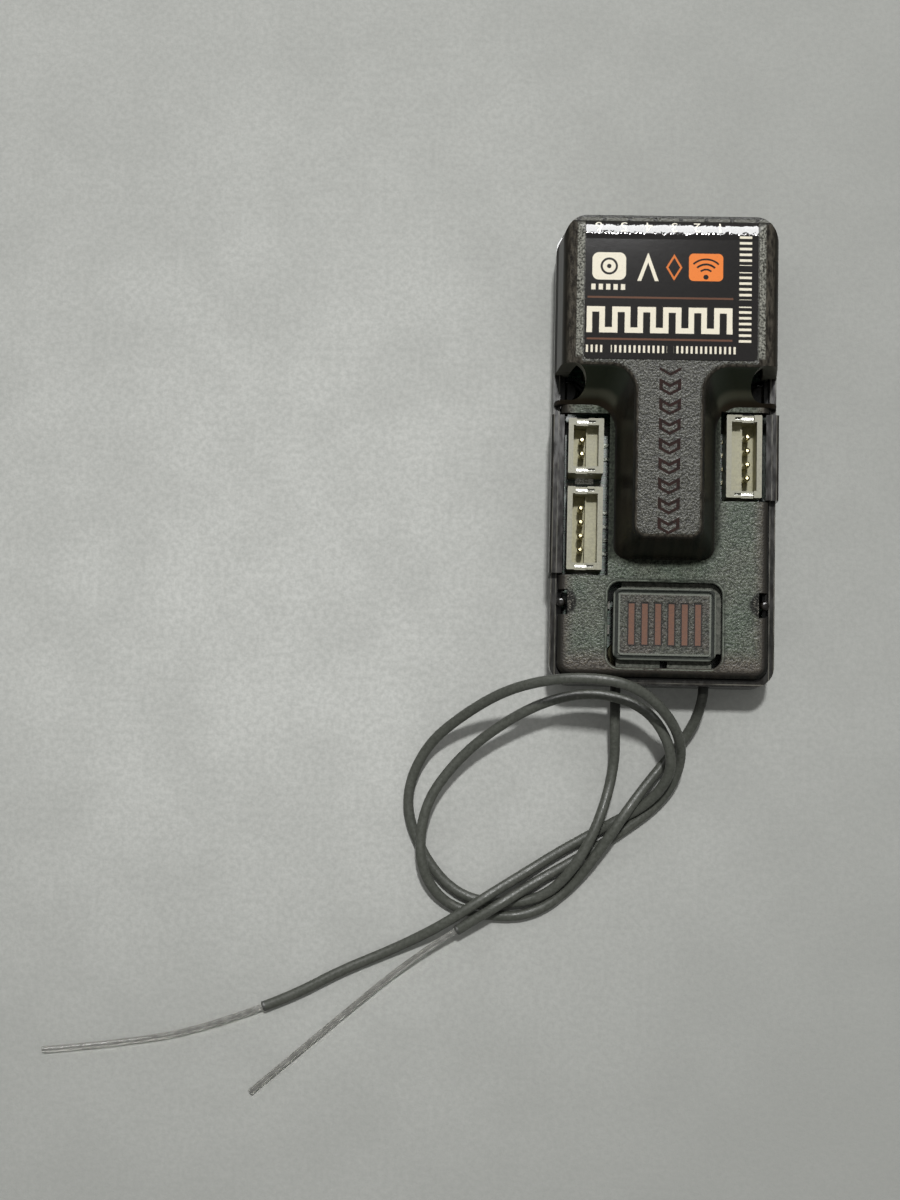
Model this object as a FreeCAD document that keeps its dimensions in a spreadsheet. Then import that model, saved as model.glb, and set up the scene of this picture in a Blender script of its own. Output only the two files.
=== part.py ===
"""A small radio-control receiver: two-part case, servo ports, side headers, button and two antennas.

Millimetres. X runs across the case, +Y points to the servo ports and +Z is up. The origin is the
bottom centre of the case, so the tray lies on z = 0 and the antennas lie on the same surface.
"""
import FreeCAD, Part
import math
import os
import re
import Sketcher
from FreeCAD import Rotation, Vector

os.makedirs("parts", exist_ok=True)
doc = FreeCAD.newDocument("receiver")
sheet = doc.addObject("Spreadsheet::Sheet", "Sizes")

SIZES = {
    # Case, outside
    "case_length": 49.6,
    "case_width": 24.1,
    "case_height": 13.2,
    "corner_radius": 2.2,
    "base_round": 0.8,
    "parting_height": 5.9,
    "deck_height": 7.3,
    "deck_round": 0.8,
    # Case walls and the lap joint between the two shells
    "floor_thickness": 1.0,
    "tray_wall": 1.2,
    "rim_wall": 0.7,
    "skirt_depth": 1.0,
    "skirt_clearance": 0.15,
    "skirt_wall": 0.7,
    "deck_thickness": 1.0,
    "top_wall": 1.1,
    # Raised block over the servo ports
    "wall_lean": 0.7,
    "shoulder_run": 2.07,
    "block_wall_width": "=case_width - 2 * wall_lean",
    "block_flat_width": "=block_wall_width - 2 * shoulder_run",
    "shoulder_drop": 1.0,
    "shoulder_round": 1.3,
    "flat_edge_round": 0.5,
    "block_length": 16.3,
    "block_rear": "=case_length / 2 - block_length",
    "block_rear_lean": "=3.2 / 5.9 * (case_height - deck_height)",
    "front_round": 2.2,
    "front_roll": 45.0,
    "lip_round": 0.25,
    "front_corner_round": 2.6,
    # Rib that runs back from the block over the deck
    "rib_flat_width": 7.2,
    "rib_side_lean": "=1.8 / 5.9 * (case_height - deck_height)",
    "rib_flat_end": "=pad_y + pad_length / 2 + 4.725",
    "rib_end_lean": "=1.65 / 5.9 * (case_height - deck_height)",
    "rib_corner_radius": 2.9,
    "rib_edge_round": 0.7,
    "rib_end_round": 1.5,
    # Servo ports in the front wall
    "port_pitch": 2.7,
    "port_count": 7,
    "port_centre": -0.4,
    "port_side_gap": 0.2,
    "port_opening_height": "=case_height - 4.8",
    "row_pitch": 2.54,
    "lowest_row_rise": 1.5,
    "key_slot_width": 2.25,
    "key_slot_depth": 0.6,
    "key_slot_web": 0.35,
    "pin_section": 0.64,
    "pin_tip_setback": 1.1,
    "pin_foot": 1.25,
    "header_block_front": "=case_length / 2 - 7.8",
    "header_block_depth": 2.5,
    "header_block_bevel": 0.3,
    "first_leg": "=header_block_front - 3.8",
    "leg_step": 2.0,
    # Circuit board
    "board_thickness": 1.0,
    "board_lift": 0.7,
    "board_edge_gap": 0.2,
    "board_front": "=header_block_front + 0.6",
    "board_hole": 1.0,
    "post_cut": 1.85,
    "snap_cut": 0.7,
    "capacitor_height": 0.55,
    "rail_width": 1.0,
    # Side headers, 1.5 mm pitch
    "housing_width": 3.8,
    "housing_height": 4.5,
    "housing_wall": 0.55,
    "housing_end_wall": 0.75,
    "housing_end_length": 4.5,
    "housing_round": 0.12,
    "contact_pitch": 1.5,
    "contact_thickness": 0.65,
    "contact_offset": 0.42,
    "contact_top_drop": 0.95,
    "contact_point": 0.25,
    "contact_bevel": 0.17,
    "well_floor": 1.3,
    "well_step_height": 2.6,
    "well_step_width": 1.3,
    "end_notch_width": 1.3,
    "end_notch_depth": 0.5,
    "housing_centre": "=case_width / 2 - 3.55",
    "tail_length": 0.9,
    "tail_width": 0.4,
    "tail_thickness": 0.2,
    "peg_width": 2.0,
    "peg_thickness": 0.25,
    "peg_height": 4.1,
    "peg_foot": 0.55,
    "port_a_centre": "=block_rear - 7.65",
    "port_a_count": 2,
    "port_b_centre": "=port_a_centre - 8.95",
    "port_b_count": 4,
    "port_c_centre": "=port_a_centre - 0.85",
    "port_c_count": 4,
    # Bays in the deck and the cheeks of the tray beside them
    "bay_inner": "=housing_centre - 2.55",
    "left_bay_front": "=port_a_centre + 3.55",
    "left_bay_rear": "=port_b_centre - 5.1",
    "right_bay_front": "=port_c_centre + 4.75",
    "right_bay_rear": "=port_c_centre - 4.95",
    "cheek_proud": 0.2,
    "cheek_height": "=deck_height - 0.15",
    "cheek_gap": 0.2,
    "cheek_round": 0.3,
    # Posts of the tray in round recesses of the top shell, and snap tabs in its square notches
    "post_x": "=case_width / 2 - 1.5",
    "post_radius": 1.2,
    "post_height": "=parting_height - skirt_depth - 0.4",
    "post_round": 0.3,
    "recess_x": "=post_x - 0.25",
    "recess_radius": 1.55,
    "recess_y": "=block_rear - 1.3",
    "tab_x": "=case_width / 2 - 1.15",
    "tab_radius": 0.5,
    "tab_height": "=deck_height - 0.3",
    "tab_round": 0.3,
    "notch_y": "=pad_y + 2.25",
    "notch_width": 2.7,
    "notch_depth": 1.0,
    # Push pad in the deck window
    "pad_x": 0.2,
    "pad_y": "=-case_length / 2 + 6.45",
    "pad_width": 11.0,
    "pad_length": 7.75,
    "pad_thickness": 1.7,
    "pad_corner": 0.9,
    "pad_edge_round": 0.18,
    "border_inset": 0.28,
    "border_width": 0.2,
    "border_depth": 0.15,
    "window_gap_side": 0.6,
    "window_gap_front": 0.65,
    "window_gap_rear": 0.8,
    "window_corner": 1.3,
    "pad_travel": 0.3,
    "lug_width": 4.7,
    "lug_spread": 5.5,
    "lug_lap": 0.15,
    "flange_lap": 0.35,
    "lug_height": 0.6,
    "stem_radius": 1.2,
    "inlay_count": 6,
    "inlay_pitch": 1.42,
    "inlay_width": 0.9,
    "inlay_length": 4.7,
    "inlay_depth": 0.2,
    "inlay_gap": 0.03,
    "inlay_sink": 0.06,
    # Tactile switch under the pad
    "switch_width": 3.6,
    "switch_length": 3.2,
    "switch_height": 1.5,
    "plunger_radius": 0.85,
    "plunger_rise": 0.4,
    "plunger_sink": 0.5,
    "plunger_gap": 0.1,
    "switch_bevel": 0.4,
    # Film label over the block
    "label_thickness": 0.1,
    "label_width": "=block_flat_width - 0.36",
    "label_rear": "=block_rear + 0.6",
    "label_wrap": 52.0,
    "label_gap": 0.05,
    "label_corner": 0.5,
    # Antenna exits
    "antenna_spread": 9.5,
    "antenna_height": 3.6,
    "coax_diameter": 1.13,
    "exit_gap": 0.1,
    "tip_diameter": 0.68,
    "plug_radius": 1.1,
    "plug_height": 1.5,
    "plug_setback": 2.0,
    "plug_edge_round": 0.25,
    "crimp_width": 1.4,
    "crimp_length": 1.5,
}

for line_number, (alias, amount) in enumerate(SIZES.items(), start=1):
    sheet.set(f"A{line_number}", alias)
    sheet.set(f"B{line_number}", str(amount))
    sheet.setAlias(f"B{line_number}", alias)
doc.recompute()


def bound(text):
    """The expression with each size read from the sheet."""
    return re.sub(r"[a-z]\w*", lambda word: "Sizes." + word[0] if word[0] in SIZES else word[0], text)


def value(text):
    """What an expression comes to, in millimetres."""
    return float(sheet.evalExpression(bound(text)))


# Heights and places that more than one piece is built from.
BOARD_BOTTOM = "(floor_thickness + board_lift)"
BOARD_TOP = "(floor_thickness + board_lift + board_thickness)"
LOWEST_ROW = f"({BOARD_TOP} + lowest_row_rise)"
PORT_MIDDLE = f"({LOWEST_ROW} + row_pitch)"
PORT_ROOF = f"({PORT_MIDDLE} + port_opening_height / 2)"
PORT_SILL = f"({PORT_MIDDLE} - port_opening_height / 2)"
PORT_HALF = "(port_pitch * port_count / 2 + port_side_gap)"
FIRST_PORT = "(port_centre - port_pitch * (port_count - 1) / 2)"
FRONT = "(case_length / 2)"
LIP_REAR = f"({FRONT} - front_round + front_round * sin(front_roll))"
LIP_HEIGHT = "(case_height - front_round + front_round * cos(front_roll))"
INSET = "(rim_wall + skirt_clearance)"
SKIRT_BOTTOM = "(parting_height - skirt_depth)"
SKIRT_HALF_WIDTH = f"(case_width / 2 - {INSET})"
SKIRT_HALF_LENGTH = f"({FRONT} - {INSET})"
CEILING = "(case_height - top_wall)"
DECK_UNDERSIDE = "(deck_height - deck_thickness)"
RIB_HALF_BASE = "(rib_flat_width / 2 + rib_side_lean)"
RAISE = "(case_height - deck_height)"
TRAY_INNER = "(case_width / 2 - tray_wall)"


def origin_feature(body, role):
    """The plane or axis of a body with the given role."""
    return next(item for item in body.Origin.OriginFeatures if item.Role == role)


def new_body(name):
    body = doc.addObject("PartDesign::Body", name)
    body.Label = name
    return body


def new_sketch(body, name, plane, offset):
    """An empty sketch parallel to a plane of the body, moved along that plane's normal."""
    sketch = body.newObject("Sketcher::SketchObject", name)
    sketch.AttachmentSupport = [(origin_feature(body, plane), "")]
    sketch.MapMode = "FlatFace"
    sketch.setExpression("AttachmentOffset.Base.z", bound(offset))
    return sketch


def pin_down(sketch, geometry, point, across, up):
    """Binds a point of the sketch to expressions, either of which may be left out."""
    for kind, text in (("DistanceX", across), ("DistanceY", up)):
        if text is not None:
            index = sketch.addConstraint(
                Sketcher.Constraint(kind, -1, 1, geometry, point, value(text)))
            sketch.setExpression(f"Constraints[{index}]", bound(text))


def outline(sketch, corners, arcs=None):
    """A closed outline through the corners. An arc is given by its segment's number and centre.

    The centre is held in one direction, named last, because its ends already fix the other.
    """
    arcs = arcs or {}
    first = sketch.GeometryCount
    count = len(corners)
    places = [Vector(value(across), value(up), 0) for across, up in corners]
    backwards = set()
    for index in range(count):
        start, end = places[index], places[(index + 1) % count]
        if index not in arcs:
            sketch.addGeometry(Part.LineSegment(start, end))
            continue
        centre = Vector(value(arcs[index][0]), value(arcs[index][1]), 0)
        if (start - centre).cross(end - centre).z < 0:
            backwards.add(index)
            start, end = end, start
        angles = [math.atan2(spot.y - centre.y, spot.x - centre.x) for spot in (start, end)]
        if angles[1] < angles[0]:
            angles[1] += 2 * math.pi
        ring = Part.Circle(centre, Vector(0, 0, 1), (start - centre).Length)
        sketch.addGeometry(Part.ArcOfCircle(ring, *angles))

    def end_points(index):
        """Numbers of a segment's start and end, which an arc that runs clockwise has the other way."""
        return (2, 1) if index in backwards else (1, 2)

    for index in range(count):
        following = (index + 1) % count
        sketch.addConstraint(Sketcher.Constraint(
            "Coincident", first + index, end_points(index)[1], first + following, end_points(following)[0]))
    for index, (across, up) in enumerate(corners):
        pin_down(sketch, first + index, end_points(index)[0], across, up)
    for index, (across, up, held) in arcs.items():
        pin_down(sketch, first + index, 3, across if held == "across" else None, up if held == "up" else None)


def rectangle(sketch, left, right, low, high):
    outline(sketch, [(left, low), (right, low), (right, high), (left, high)])


def rounded_rectangle(sketch, left, right, low, high, radius):
    """A rectangle with quarter rounds, drawn anticlockwise from the left end of its lower side."""
    inner_left, inner_right = f"({left} + {radius})", f"({right} - {radius})"
    inner_low, inner_high = f"({low} + {radius})", f"({high} - {radius})"
    outline(sketch, [
        (inner_left, low), (inner_right, low), (right, inner_low), (right, inner_high),
        (inner_right, high), (inner_left, high), (left, inner_high), (left, inner_low)],
        {1: (inner_right, inner_low, "up"), 3: (inner_right, inner_high, "up"),
         5: (inner_left, inner_high, "up"), 7: (inner_left, inner_low, "up")})


def circle(sketch, across, up, radius):
    centre = Vector(value(across), value(up), 0)
    index = sketch.addGeometry(Part.Circle(centre, Vector(0, 0, 1), value(radius)))
    pin_down(sketch, index, 3, across, up)
    held = sketch.addConstraint(Sketcher.Constraint("Radius", index, value(radius)))
    sketch.setExpression(f"Constraints[{held}]", bound(radius))


def pad(body, name, sketch, length, both_ways=False):
    feature = body.newObject("PartDesign::Pad", name)
    feature.Profile = sketch
    feature.setExpression("Length", bound(length))
    feature.Midplane = both_ways
    doc.recompute()
    return feature


def pocket(body, name, sketch, length, both_ways=False, reverse=False):
    """Cuts against the sketch's normal, or along it if reversed."""
    feature = body.newObject("PartDesign::Pocket", name)
    feature.Profile = sketch
    feature.setExpression("Length", bound(length))
    feature.Midplane = both_ways
    feature.Reversed = reverse
    doc.recompute()
    return feature


def turn(body, name, sketch, axis_across):
    """A full turn of an outline about an upright line of its sketch."""
    line = sketch.addGeometry(Part.LineSegment(Vector(value(axis_across), 0, 0),
                                               Vector(value(axis_across), 1, 0)), True)
    pin_down(sketch, line, 1, axis_across, "0")
    pin_down(sketch, line, 2, axis_across, "case_height")
    feature = body.newObject("PartDesign::Revolution", name)
    feature.Profile = sketch
    feature.ReferenceAxis = (sketch, ["Axis0"])
    feature.Angle = 360
    doc.recompute()
    return feature


def edges_where(feature, test):
    """Names of the edges that pass a test of their middle point and direction."""
    names = []
    for number, edge in enumerate(feature.Shape.Edges, start=1):
        middle = edge.valueAt((edge.FirstParameter + edge.LastParameter) / 2)
        run = edge.valueAt(edge.LastParameter) - edge.valueAt(edge.FirstParameter)
        if test(middle, run):
            names.append(f"Edge{number}")
    return names


def fillet(body, name, feature, radius, test):
    rounding = body.newObject("PartDesign::Fillet", name)
    rounding.Base = (feature, edges_where(feature, test))
    rounding.setExpression("Radius", bound(radius))
    doc.recompute()
    return rounding


def chamfer(body, name, feature, size, test):
    bevel = body.newObject("PartDesign::Chamfer", name)
    bevel.Base = (feature, edges_where(feature, test))
    bevel.setExpression("Size", bound(size))
    doc.recompute()
    return bevel


def row_pattern(body, name, originals, axis, pitch, count):
    """Repeats features along an axis of the body, a pitch apart."""
    pattern = body.newObject("PartDesign::LinearPattern", name)
    pattern.Originals = originals
    pattern.Direction = (origin_feature(body, axis), [""])
    pattern.setExpression("Length", bound(f"{pitch} * ({count} - 1)"))
    pattern.setExpression("Occurrences", bound(count))
    body.Tip = pattern
    doc.recompute()
    return pattern


def is_upright(run):
    return abs(run.z) > 0.9 * run.Length and run.Length > 0


def near(one, other, room=0.02):
    return abs(one - other) < room


def make_case_bottom():
    """The tray, with its rim, cheeks, posts, board rails and the holes for the antennas."""
    body = new_body("case_bottom")
    half_width, half_length = "(case_width / 2)", FRONT
    sketch = new_sketch(body, "tray_plan", "XY_Plane", "0")
    rectangle(sketch, f"-{half_width}", half_width, f"-{half_length}", half_length)
    tray = pad(body, "tray_block", sketch, "parting_height")
    tray = fillet(body, "tray_corners", tray, "corner_radius", lambda middle, run: is_upright(run))
    tray = fillet(body, "tray_base", tray, "base_round", lambda middle, run: near(middle.z, 0))

    sketch = new_sketch(body, "tray_room", "XY_Plane", "parting_height")
    rectangle(sketch, f"-{TRAY_INNER}", TRAY_INNER, f"-({FRONT} - tray_wall)", f"({FRONT} - tray_wall)")
    tray = pocket(body, "tray_hollow", sketch, "parting_height - floor_thickness")
    tray = fillet(body, "tray_hollow_corners", tray, "corner_radius - tray_wall",
                  lambda middle, run: is_upright(run) and abs(middle.x) < value(TRAY_INNER) + 0.01
                  and near(abs(middle.y), value(f"{FRONT} - tray_wall")))

    sketch = new_sketch(body, "rim_plan", "XY_Plane", "parting_height")
    rectangle(sketch, "-(case_width / 2 - rim_wall)", "case_width / 2 - rim_wall",
              f"-({FRONT} - rim_wall)", f"{FRONT} - rim_wall")
    tray = pocket(body, "rim_step", sketch, "skirt_depth")
    tray = fillet(body, "rim_corners", tray, "corner_radius - rim_wall",
                  lambda middle, run: is_upright(run) and near(abs(middle.y), value(f"{FRONT} - rim_wall")))

    for side, sign, front, rear in (("left", "-", "left_bay_front", "left_bay_rear"),
                                    ("right", "", "right_bay_front", "right_bay_rear")):
        sketch = new_sketch(body, f"{side}_cheek_plan", "XY_Plane", "floor_thickness")
        rectangle(sketch, f"{sign}{TRAY_INNER}", f"{sign}(case_width / 2 + cheek_proud)",
                  f"{rear} + cheek_gap", f"{front} - cheek_gap")
        tray = pad(body, f"{side}_cheek", sketch, "cheek_height - floor_thickness")
    tray = fillet(body, "cheek_edges", tray, "cheek_round",
                  lambda middle, run: near(middle.z, value("cheek_height"))
                  and near(abs(middle.x), value("case_width / 2 + cheek_proud")))

    sketch = new_sketch(body, "rail_plan", "XY_Plane", "floor_thickness")
    for sign in (-1, 1):
        middle = f"port_centre + {sign} * 2.5 * port_pitch"
        rectangle(sketch, f"{middle} - rail_width / 2", f"{middle} + rail_width / 2",
                  f"-({FRONT} - 3 * tray_wall)", "board_front - tray_wall")
    pad(body, "board_rails", sketch, "board_lift")

    for kind, along in (("post", "recess_y"), ("tab", "notch_y")):
        sketch = new_sketch(body, f"{kind}_plan", "XY_Plane", "floor_thickness")
        for sign in ("-", ""):
            circle(sketch, f"{sign}{kind}_x", along, f"{kind}_radius")
        tray = pad(body, f"{kind}s", sketch, f"{kind}_height - floor_thickness")
        height = value(f"{kind}_height")
        tray = fillet(body, f"{kind}_heads", tray, f"{kind}_round",
                      lambda middle, run, height=height: near(middle.z, height))

    sketch = new_sketch(body, "port_front_view", "XZ_Plane", f"-{FRONT}")
    rectangle(sketch, f"port_centre - {PORT_HALF}", f"port_centre + {PORT_HALF}", PORT_SILL, "parting_height + 1")
    pocket(body, "port_cut", sketch, "tray_wall + corner_radius", reverse=True)

    sketch = new_sketch(body, "antenna_end_view", "XZ_Plane", FRONT)
    for sign in (-1, 1):
        circle(sketch, f"{sign} * antenna_spread / 2", "antenna_height", "coax_diameter / 2 + exit_gap")
    pocket(body, "antenna_holes", sketch, "tray_wall + 1")
    return body


def loft(body, name, lower, upper, cut=False):
    """A solid or a cavity with flat sides between two outlines."""
    kind = "PartDesign::SubtractiveLoft" if cut else "PartDesign::AdditiveLoft"
    feature = body.newObject(kind, name)
    feature.Profile = lower
    feature.Sections = [upper]
    feature.Ruled = True
    doc.recompute()
    return feature


def block_rear_at(height):
    """Y of the block's leaning rear wall at a height."""
    return f"(block_rear - block_rear_lean * (case_height - {height}) / {RAISE})"


def wall_half_at(height):
    """Half the block's width at a height of its leaning walls."""
    lean = "(case_width - block_wall_width) / 2 / (case_height - shoulder_drop - parting_height)"
    return f"(case_width / 2 - {lean} * ({height} - parting_height))"


def rib_half_at(height):
    """Half the rib's width at a height."""
    return f"(rib_flat_width / 2 + rib_side_lean * (case_height - {height}) / {RAISE})"


def rib_end_at(height):
    """Y of the rib's leaning end at a height."""
    return f"(rib_flat_end - rib_end_lean * (case_height - {height}) / {RAISE})"


def window_side(sign):
    return f"pad_x {sign} (pad_width / 2 + window_gap_side)"


def make_case_top():
    """The cover: skirt and deck, the raised block over the ports and the rib behind it."""
    body = new_body("case_top")
    sketch = new_sketch(body, "deck_plan", "XY_Plane", SKIRT_BOTTOM)
    rectangle(sketch, f"-{SKIRT_HALF_WIDTH}", SKIRT_HALF_WIDTH, f"-{SKIRT_HALF_LENGTH}", SKIRT_HALF_LENGTH)
    cover = pad(body, "deck_block", sketch, f"deck_height - {SKIRT_BOTTOM}")
    cover = fillet(body, "deck_corners", cover, f"corner_radius - {INSET}",
                   lambda middle, run: is_upright(run))
    fillet(body, "deck_edge", cover, "deck_round", lambda middle, run: near(middle.z, value("deck_height")))

    # The block's front view has a flat top, sloping shoulders and walls that lean out to the tray.
    sketch = new_sketch(body, "block_front_view", "XZ_Plane", f"-{FRONT}")
    outline(sketch, [
        ("-case_width / 2", "parting_height"), ("case_width / 2", "parting_height"),
        ("block_wall_width / 2", "case_height - shoulder_drop"), ("block_flat_width / 2", "case_height"),
        ("-block_flat_width / 2", "case_height"), ("-block_wall_width / 2", "case_height - shoulder_drop")])
    cover = pad(body, "block", sketch, f"{FRONT} - block_rear + block_rear_lean")
    shoulder_height = value("case_height - shoulder_drop")
    cover = fillet(body, "shoulders", cover, "shoulder_round",
                   lambda middle, run: near(middle.z, shoulder_height) and abs(run.y) > 1)
    fillet(body, "flat_edges", cover, "flat_edge_round",
           lambda middle, run: near(middle.z, value("case_height")) and abs(run.y) > 1)
    for side, sign in (("left", "-"), ("right", "")):
        sections = []
        for level, height in (("foot", "parting_height"), ("crown", "case_height + 1")):
            sketch = new_sketch(body, f"{side}_corner_{level}", "XY_Plane", height)
            wall, close = wall_half_at(height), f"({wall_half_at(height)} - front_corner_round)"
            outline(sketch, [
                (f"{sign}({wall} + 1)", f"{FRONT} + 1"), (f"{sign}{close}", f"{FRONT} + 1"), (f"{sign}{close}", FRONT),
                (f"{sign}{wall}", f"{FRONT} - front_corner_round"),
                (f"{sign}({wall} + 1)", f"{FRONT} - front_corner_round")],
                {2: (f"{sign}{close}", f"{FRONT} - front_corner_round", "up")})
            sections.append(sketch)
        loft(body, f"{side}_front_corner", *sections, cut=True)

    # The front edge is rolled down to a narrow lip, and the rear wall leans back down to the deck.
    sketch = new_sketch(body, "block_side_view", "YZ_Plane", "0")
    outline(sketch, [
        (f"{FRONT} - front_round", "case_height"), (LIP_REAR, LIP_HEIGHT),
        (f"{FRONT} - lip_round", LIP_HEIGHT), (FRONT, f"{LIP_HEIGHT} - lip_round"),
        (f"{FRONT} + 1", f"{LIP_HEIGHT} - lip_round"), (f"{FRONT} + 1", "case_height + 1"),
        (f"{FRONT} - front_round", "case_height + 1")],
        {0: (f"{FRONT} - front_round", "case_height - front_round", "up"),
         2: (f"{FRONT} - lip_round", f"{LIP_HEIGHT} - lip_round", "up")})
    pocket(body, "front_rounding", sketch, "case_width * 2", both_ways=True)
    sketch = new_sketch(body, "block_rear_view", "YZ_Plane", "0")
    outline(sketch, [
        ("block_rear - block_rear_lean", "deck_height"), ("block_rear", "case_height"),
        ("block_rear", "case_height + 1"), ("block_rear - block_rear_lean - 3", "case_height + 1"),
        ("block_rear - block_rear_lean - 3", "deck_height")])
    pocket(body, "rear_slope", sketch, "case_width * 2", both_ways=True)

    sections = []
    for name, height, front in (("rib_foot", "deck_height", "block_rear"),
                                ("rib_flat", "case_height", "(block_rear + front_round)")):
        sketch = new_sketch(body, name, "XY_Plane", height)
        rectangle(sketch, f"-{rib_half_at(height)}", rib_half_at(height), rib_end_at(height), front)
        sections.append(sketch)
    cover = loft(body, "rib", *sections)
    middle_x = value("(rib_flat_width + rib_side_lean) / 2")
    cover = fillet(body, "rib_corners", cover, "rib_corner_radius",
                   lambda middle, run: near(abs(middle.x), middle_x, 0.3) and is_between(middle.z)
                   and middle.y > value("block_rear - block_rear_lean"))
    cover = fillet(body, "rib_end_corners", cover, "rib_end_round",
                   lambda middle, run: is_between(middle.z) and is_upright(run)
                   and middle.y < value("rib_flat_end") and abs(middle.x) < value(RIB_HALF_BASE))
    fillet(body, "raised_edges", cover, "rib_edge_round",
           lambda middle, run: near(middle.z, value("case_height"))
           and middle.y < value("block_rear") + 0.05)

    # Inside: room under the deck, in the block and in the rib.
    inner_width = f"({SKIRT_HALF_WIDTH} - skirt_wall)"
    inner_length = f"({SKIRT_HALF_LENGTH} - skirt_wall)"
    sketch = new_sketch(body, "deck_room", "XY_Plane", SKIRT_BOTTOM)
    rectangle(sketch, f"-{inner_width}", inner_width, f"-{inner_length}", inner_length)
    pocket(body, "deck_hollow", sketch, f"{DECK_UNDERSIDE} - {SKIRT_BOTTOM}", reverse=True)
    sections = []
    for name, height, half in (("block_room_foot", DECK_UNDERSIDE, inner_width),
                               ("block_room_roof", CEILING, "(block_flat_width / 2 + flat_edge_round)")):
        sketch = new_sketch(body, name, "XY_Plane", height)
        rectangle(sketch, f"-{half}", half, f"{block_rear_at(height)} + top_wall", inner_length)
        sections.append(sketch)
    loft(body, "block_hollow", *sections, cut=True)
    sections = []
    for name, height in (("rib_room_foot", DECK_UNDERSIDE), ("rib_room_roof", CEILING)):
        sketch = new_sketch(body, name, "XY_Plane", height)
        half = f"({rib_half_at(height)} - top_wall)"
        rectangle(sketch, f"-{half}", half, f"{rib_end_at(height)} + top_wall", "block_rear + front_round")
        sections.append(sketch)
    loft(body, "rib_hollow", *sections, cut=True)

    # Openings: the window for the pad, the bays for the side headers and the notches for the posts.
    sketch = new_sketch(body, "window_plan", "XY_Plane", "deck_height + 1")
    rear, front = "pad_y - pad_length / 2 - window_gap_rear", "pad_y + pad_length / 2 + window_gap_front"
    rectangle(sketch, window_side("-"), window_side("+"), rear, front)
    cover = pocket(body, "window", sketch, "deck_thickness + 1.5")
    fillet(body, "window_corners", cover, "window_corner",
           lambda middle, run: is_upright(run) and (near(middle.y, value(rear)) or near(middle.y, value(front)))
           and (near(middle.x, value(window_side("-"))) or near(middle.x, value(window_side("+")))))
    for side, sign in (("left", "-"), ("right", "")):
        sketch = new_sketch(body, f"{side}_bay_plan", "XY_Plane", "deck_height + 0.5")
        rectangle(sketch, f"{sign}bay_inner", f"{sign}case_width", f"{side}_bay_rear", f"{side}_bay_front")
        pocket(body, f"{side}_bay", sketch, f"deck_height - {SKIRT_BOTTOM} + 1")
    for side, sign, far, close in (("left", "-", "-", "+"), ("right", "", "+", "-")):
        sketch = new_sketch(body, f"{side}_recess_plan", "XY_Plane", "case_height + 1")
        outline(sketch, [
            (f"{sign}case_width", f"recess_y {far} recess_radius"),
            (f"{sign}recess_x", f"recess_y {far} recess_radius"),
            (f"{sign}recess_x", f"recess_y {close} recess_radius"),
            (f"{sign}case_width", f"recess_y {close} recess_radius")],
            {1: (f"{sign}recess_x", "recess_y", "across")})
        pocket(body, f"{side}_recess", sketch, f"case_height - {SKIRT_BOTTOM} + 2")
        sketch = new_sketch(body, f"{side}_notch_plan", "XY_Plane", "deck_height + 1")
        rectangle(sketch, f"{sign}({SKIRT_HALF_WIDTH} - notch_depth)", f"{sign}case_width",
                  "notch_y - notch_width / 2", "notch_y + notch_width / 2")
        pocket(body, f"{side}_notch", sketch, f"deck_height - {SKIRT_BOTTOM} + 2")

    # The servo ports open forwards, with a slot above each one for the rib of a keyed plug.
    sketch = new_sketch(body, "ports_front_view", "XZ_Plane", f"-({FRONT} + 0.5)")
    rectangle(sketch, f"port_centre - {PORT_HALF}", f"port_centre + {PORT_HALF}", f"{SKIRT_BOTTOM} - 1", PORT_ROOF)
    pocket(body, "ports", sketch, f"{INSET} + skirt_wall + 1", reverse=True)
    sketch = new_sketch(body, "key_slot_front_view", "XZ_Plane", f"-({FRONT} + 0.5)")
    rectangle(sketch, f"{FIRST_PORT} - key_slot_width / 2", f"{FIRST_PORT} + key_slot_width / 2",
              f"{PORT_ROOF} - 0.5", f"{LIP_HEIGHT} - key_slot_web")
    slot = pocket(body, "key_slot", sketch, "key_slot_depth + 0.5", reverse=True)
    row_pattern(body, "key_slots", [slot], "X_Axis", "port_pitch", "port_count")

    # A shallow seat for the label, which runs from the flat over the rounded front edge.
    sketch = new_sketch(body, "label_seat_view", "YZ_Plane", "0")
    label_outline(sketch, "label_rear - label_gap", "label_wrap - 1", "0.4")
    pocket(body, "label_seat", sketch, "label_width + 2 * label_gap", both_ways=True)
    return body


def is_between(height):
    """Whether a height lies between the deck and the top of the block."""
    return value("deck_height") + 0.5 < height < value("case_height") - 0.5


def label_outline(sketch, rear, wrap, rise):
    """Side view of a skin over the flat and round of the block, from its seat to a rise above the surface."""
    centre_y, centre_z = f"({FRONT} - front_round)", "(case_height - front_round)"
    seat, skin = "(front_round - label_thickness)", f"(front_round + {rise})"
    outline(sketch, [
        (rear, f"{centre_z} + {skin}"), (rear, f"{centre_z} + {seat}"), (centre_y, f"{centre_z} + {seat}"),
        (f"{centre_y} + {seat} * cos({wrap})", f"{centre_z} + {seat} * sin({wrap})"),
        (f"{centre_y} + {skin} * cos({wrap})", f"{centre_z} + {skin} * sin({wrap})"),
        (centre_y, f"{centre_z} + {skin}")],
        {2: (centre_y, centre_z, "up"), 4: (centre_y, centre_z, "up")})


def make_label():
    body = new_body("label")
    sketch = new_sketch(body, "label_side_view", "YZ_Plane", "0")
    label_outline(sketch, "label_rear", "label_wrap", "0")
    film = pad(body, "label_film", sketch, "label_width", both_ways=True)
    fillet(body, "label_corners", film, "label_corner",
           lambda middle, run: is_upright(run) and near(middle.y, value("label_rear")))
    return body


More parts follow.
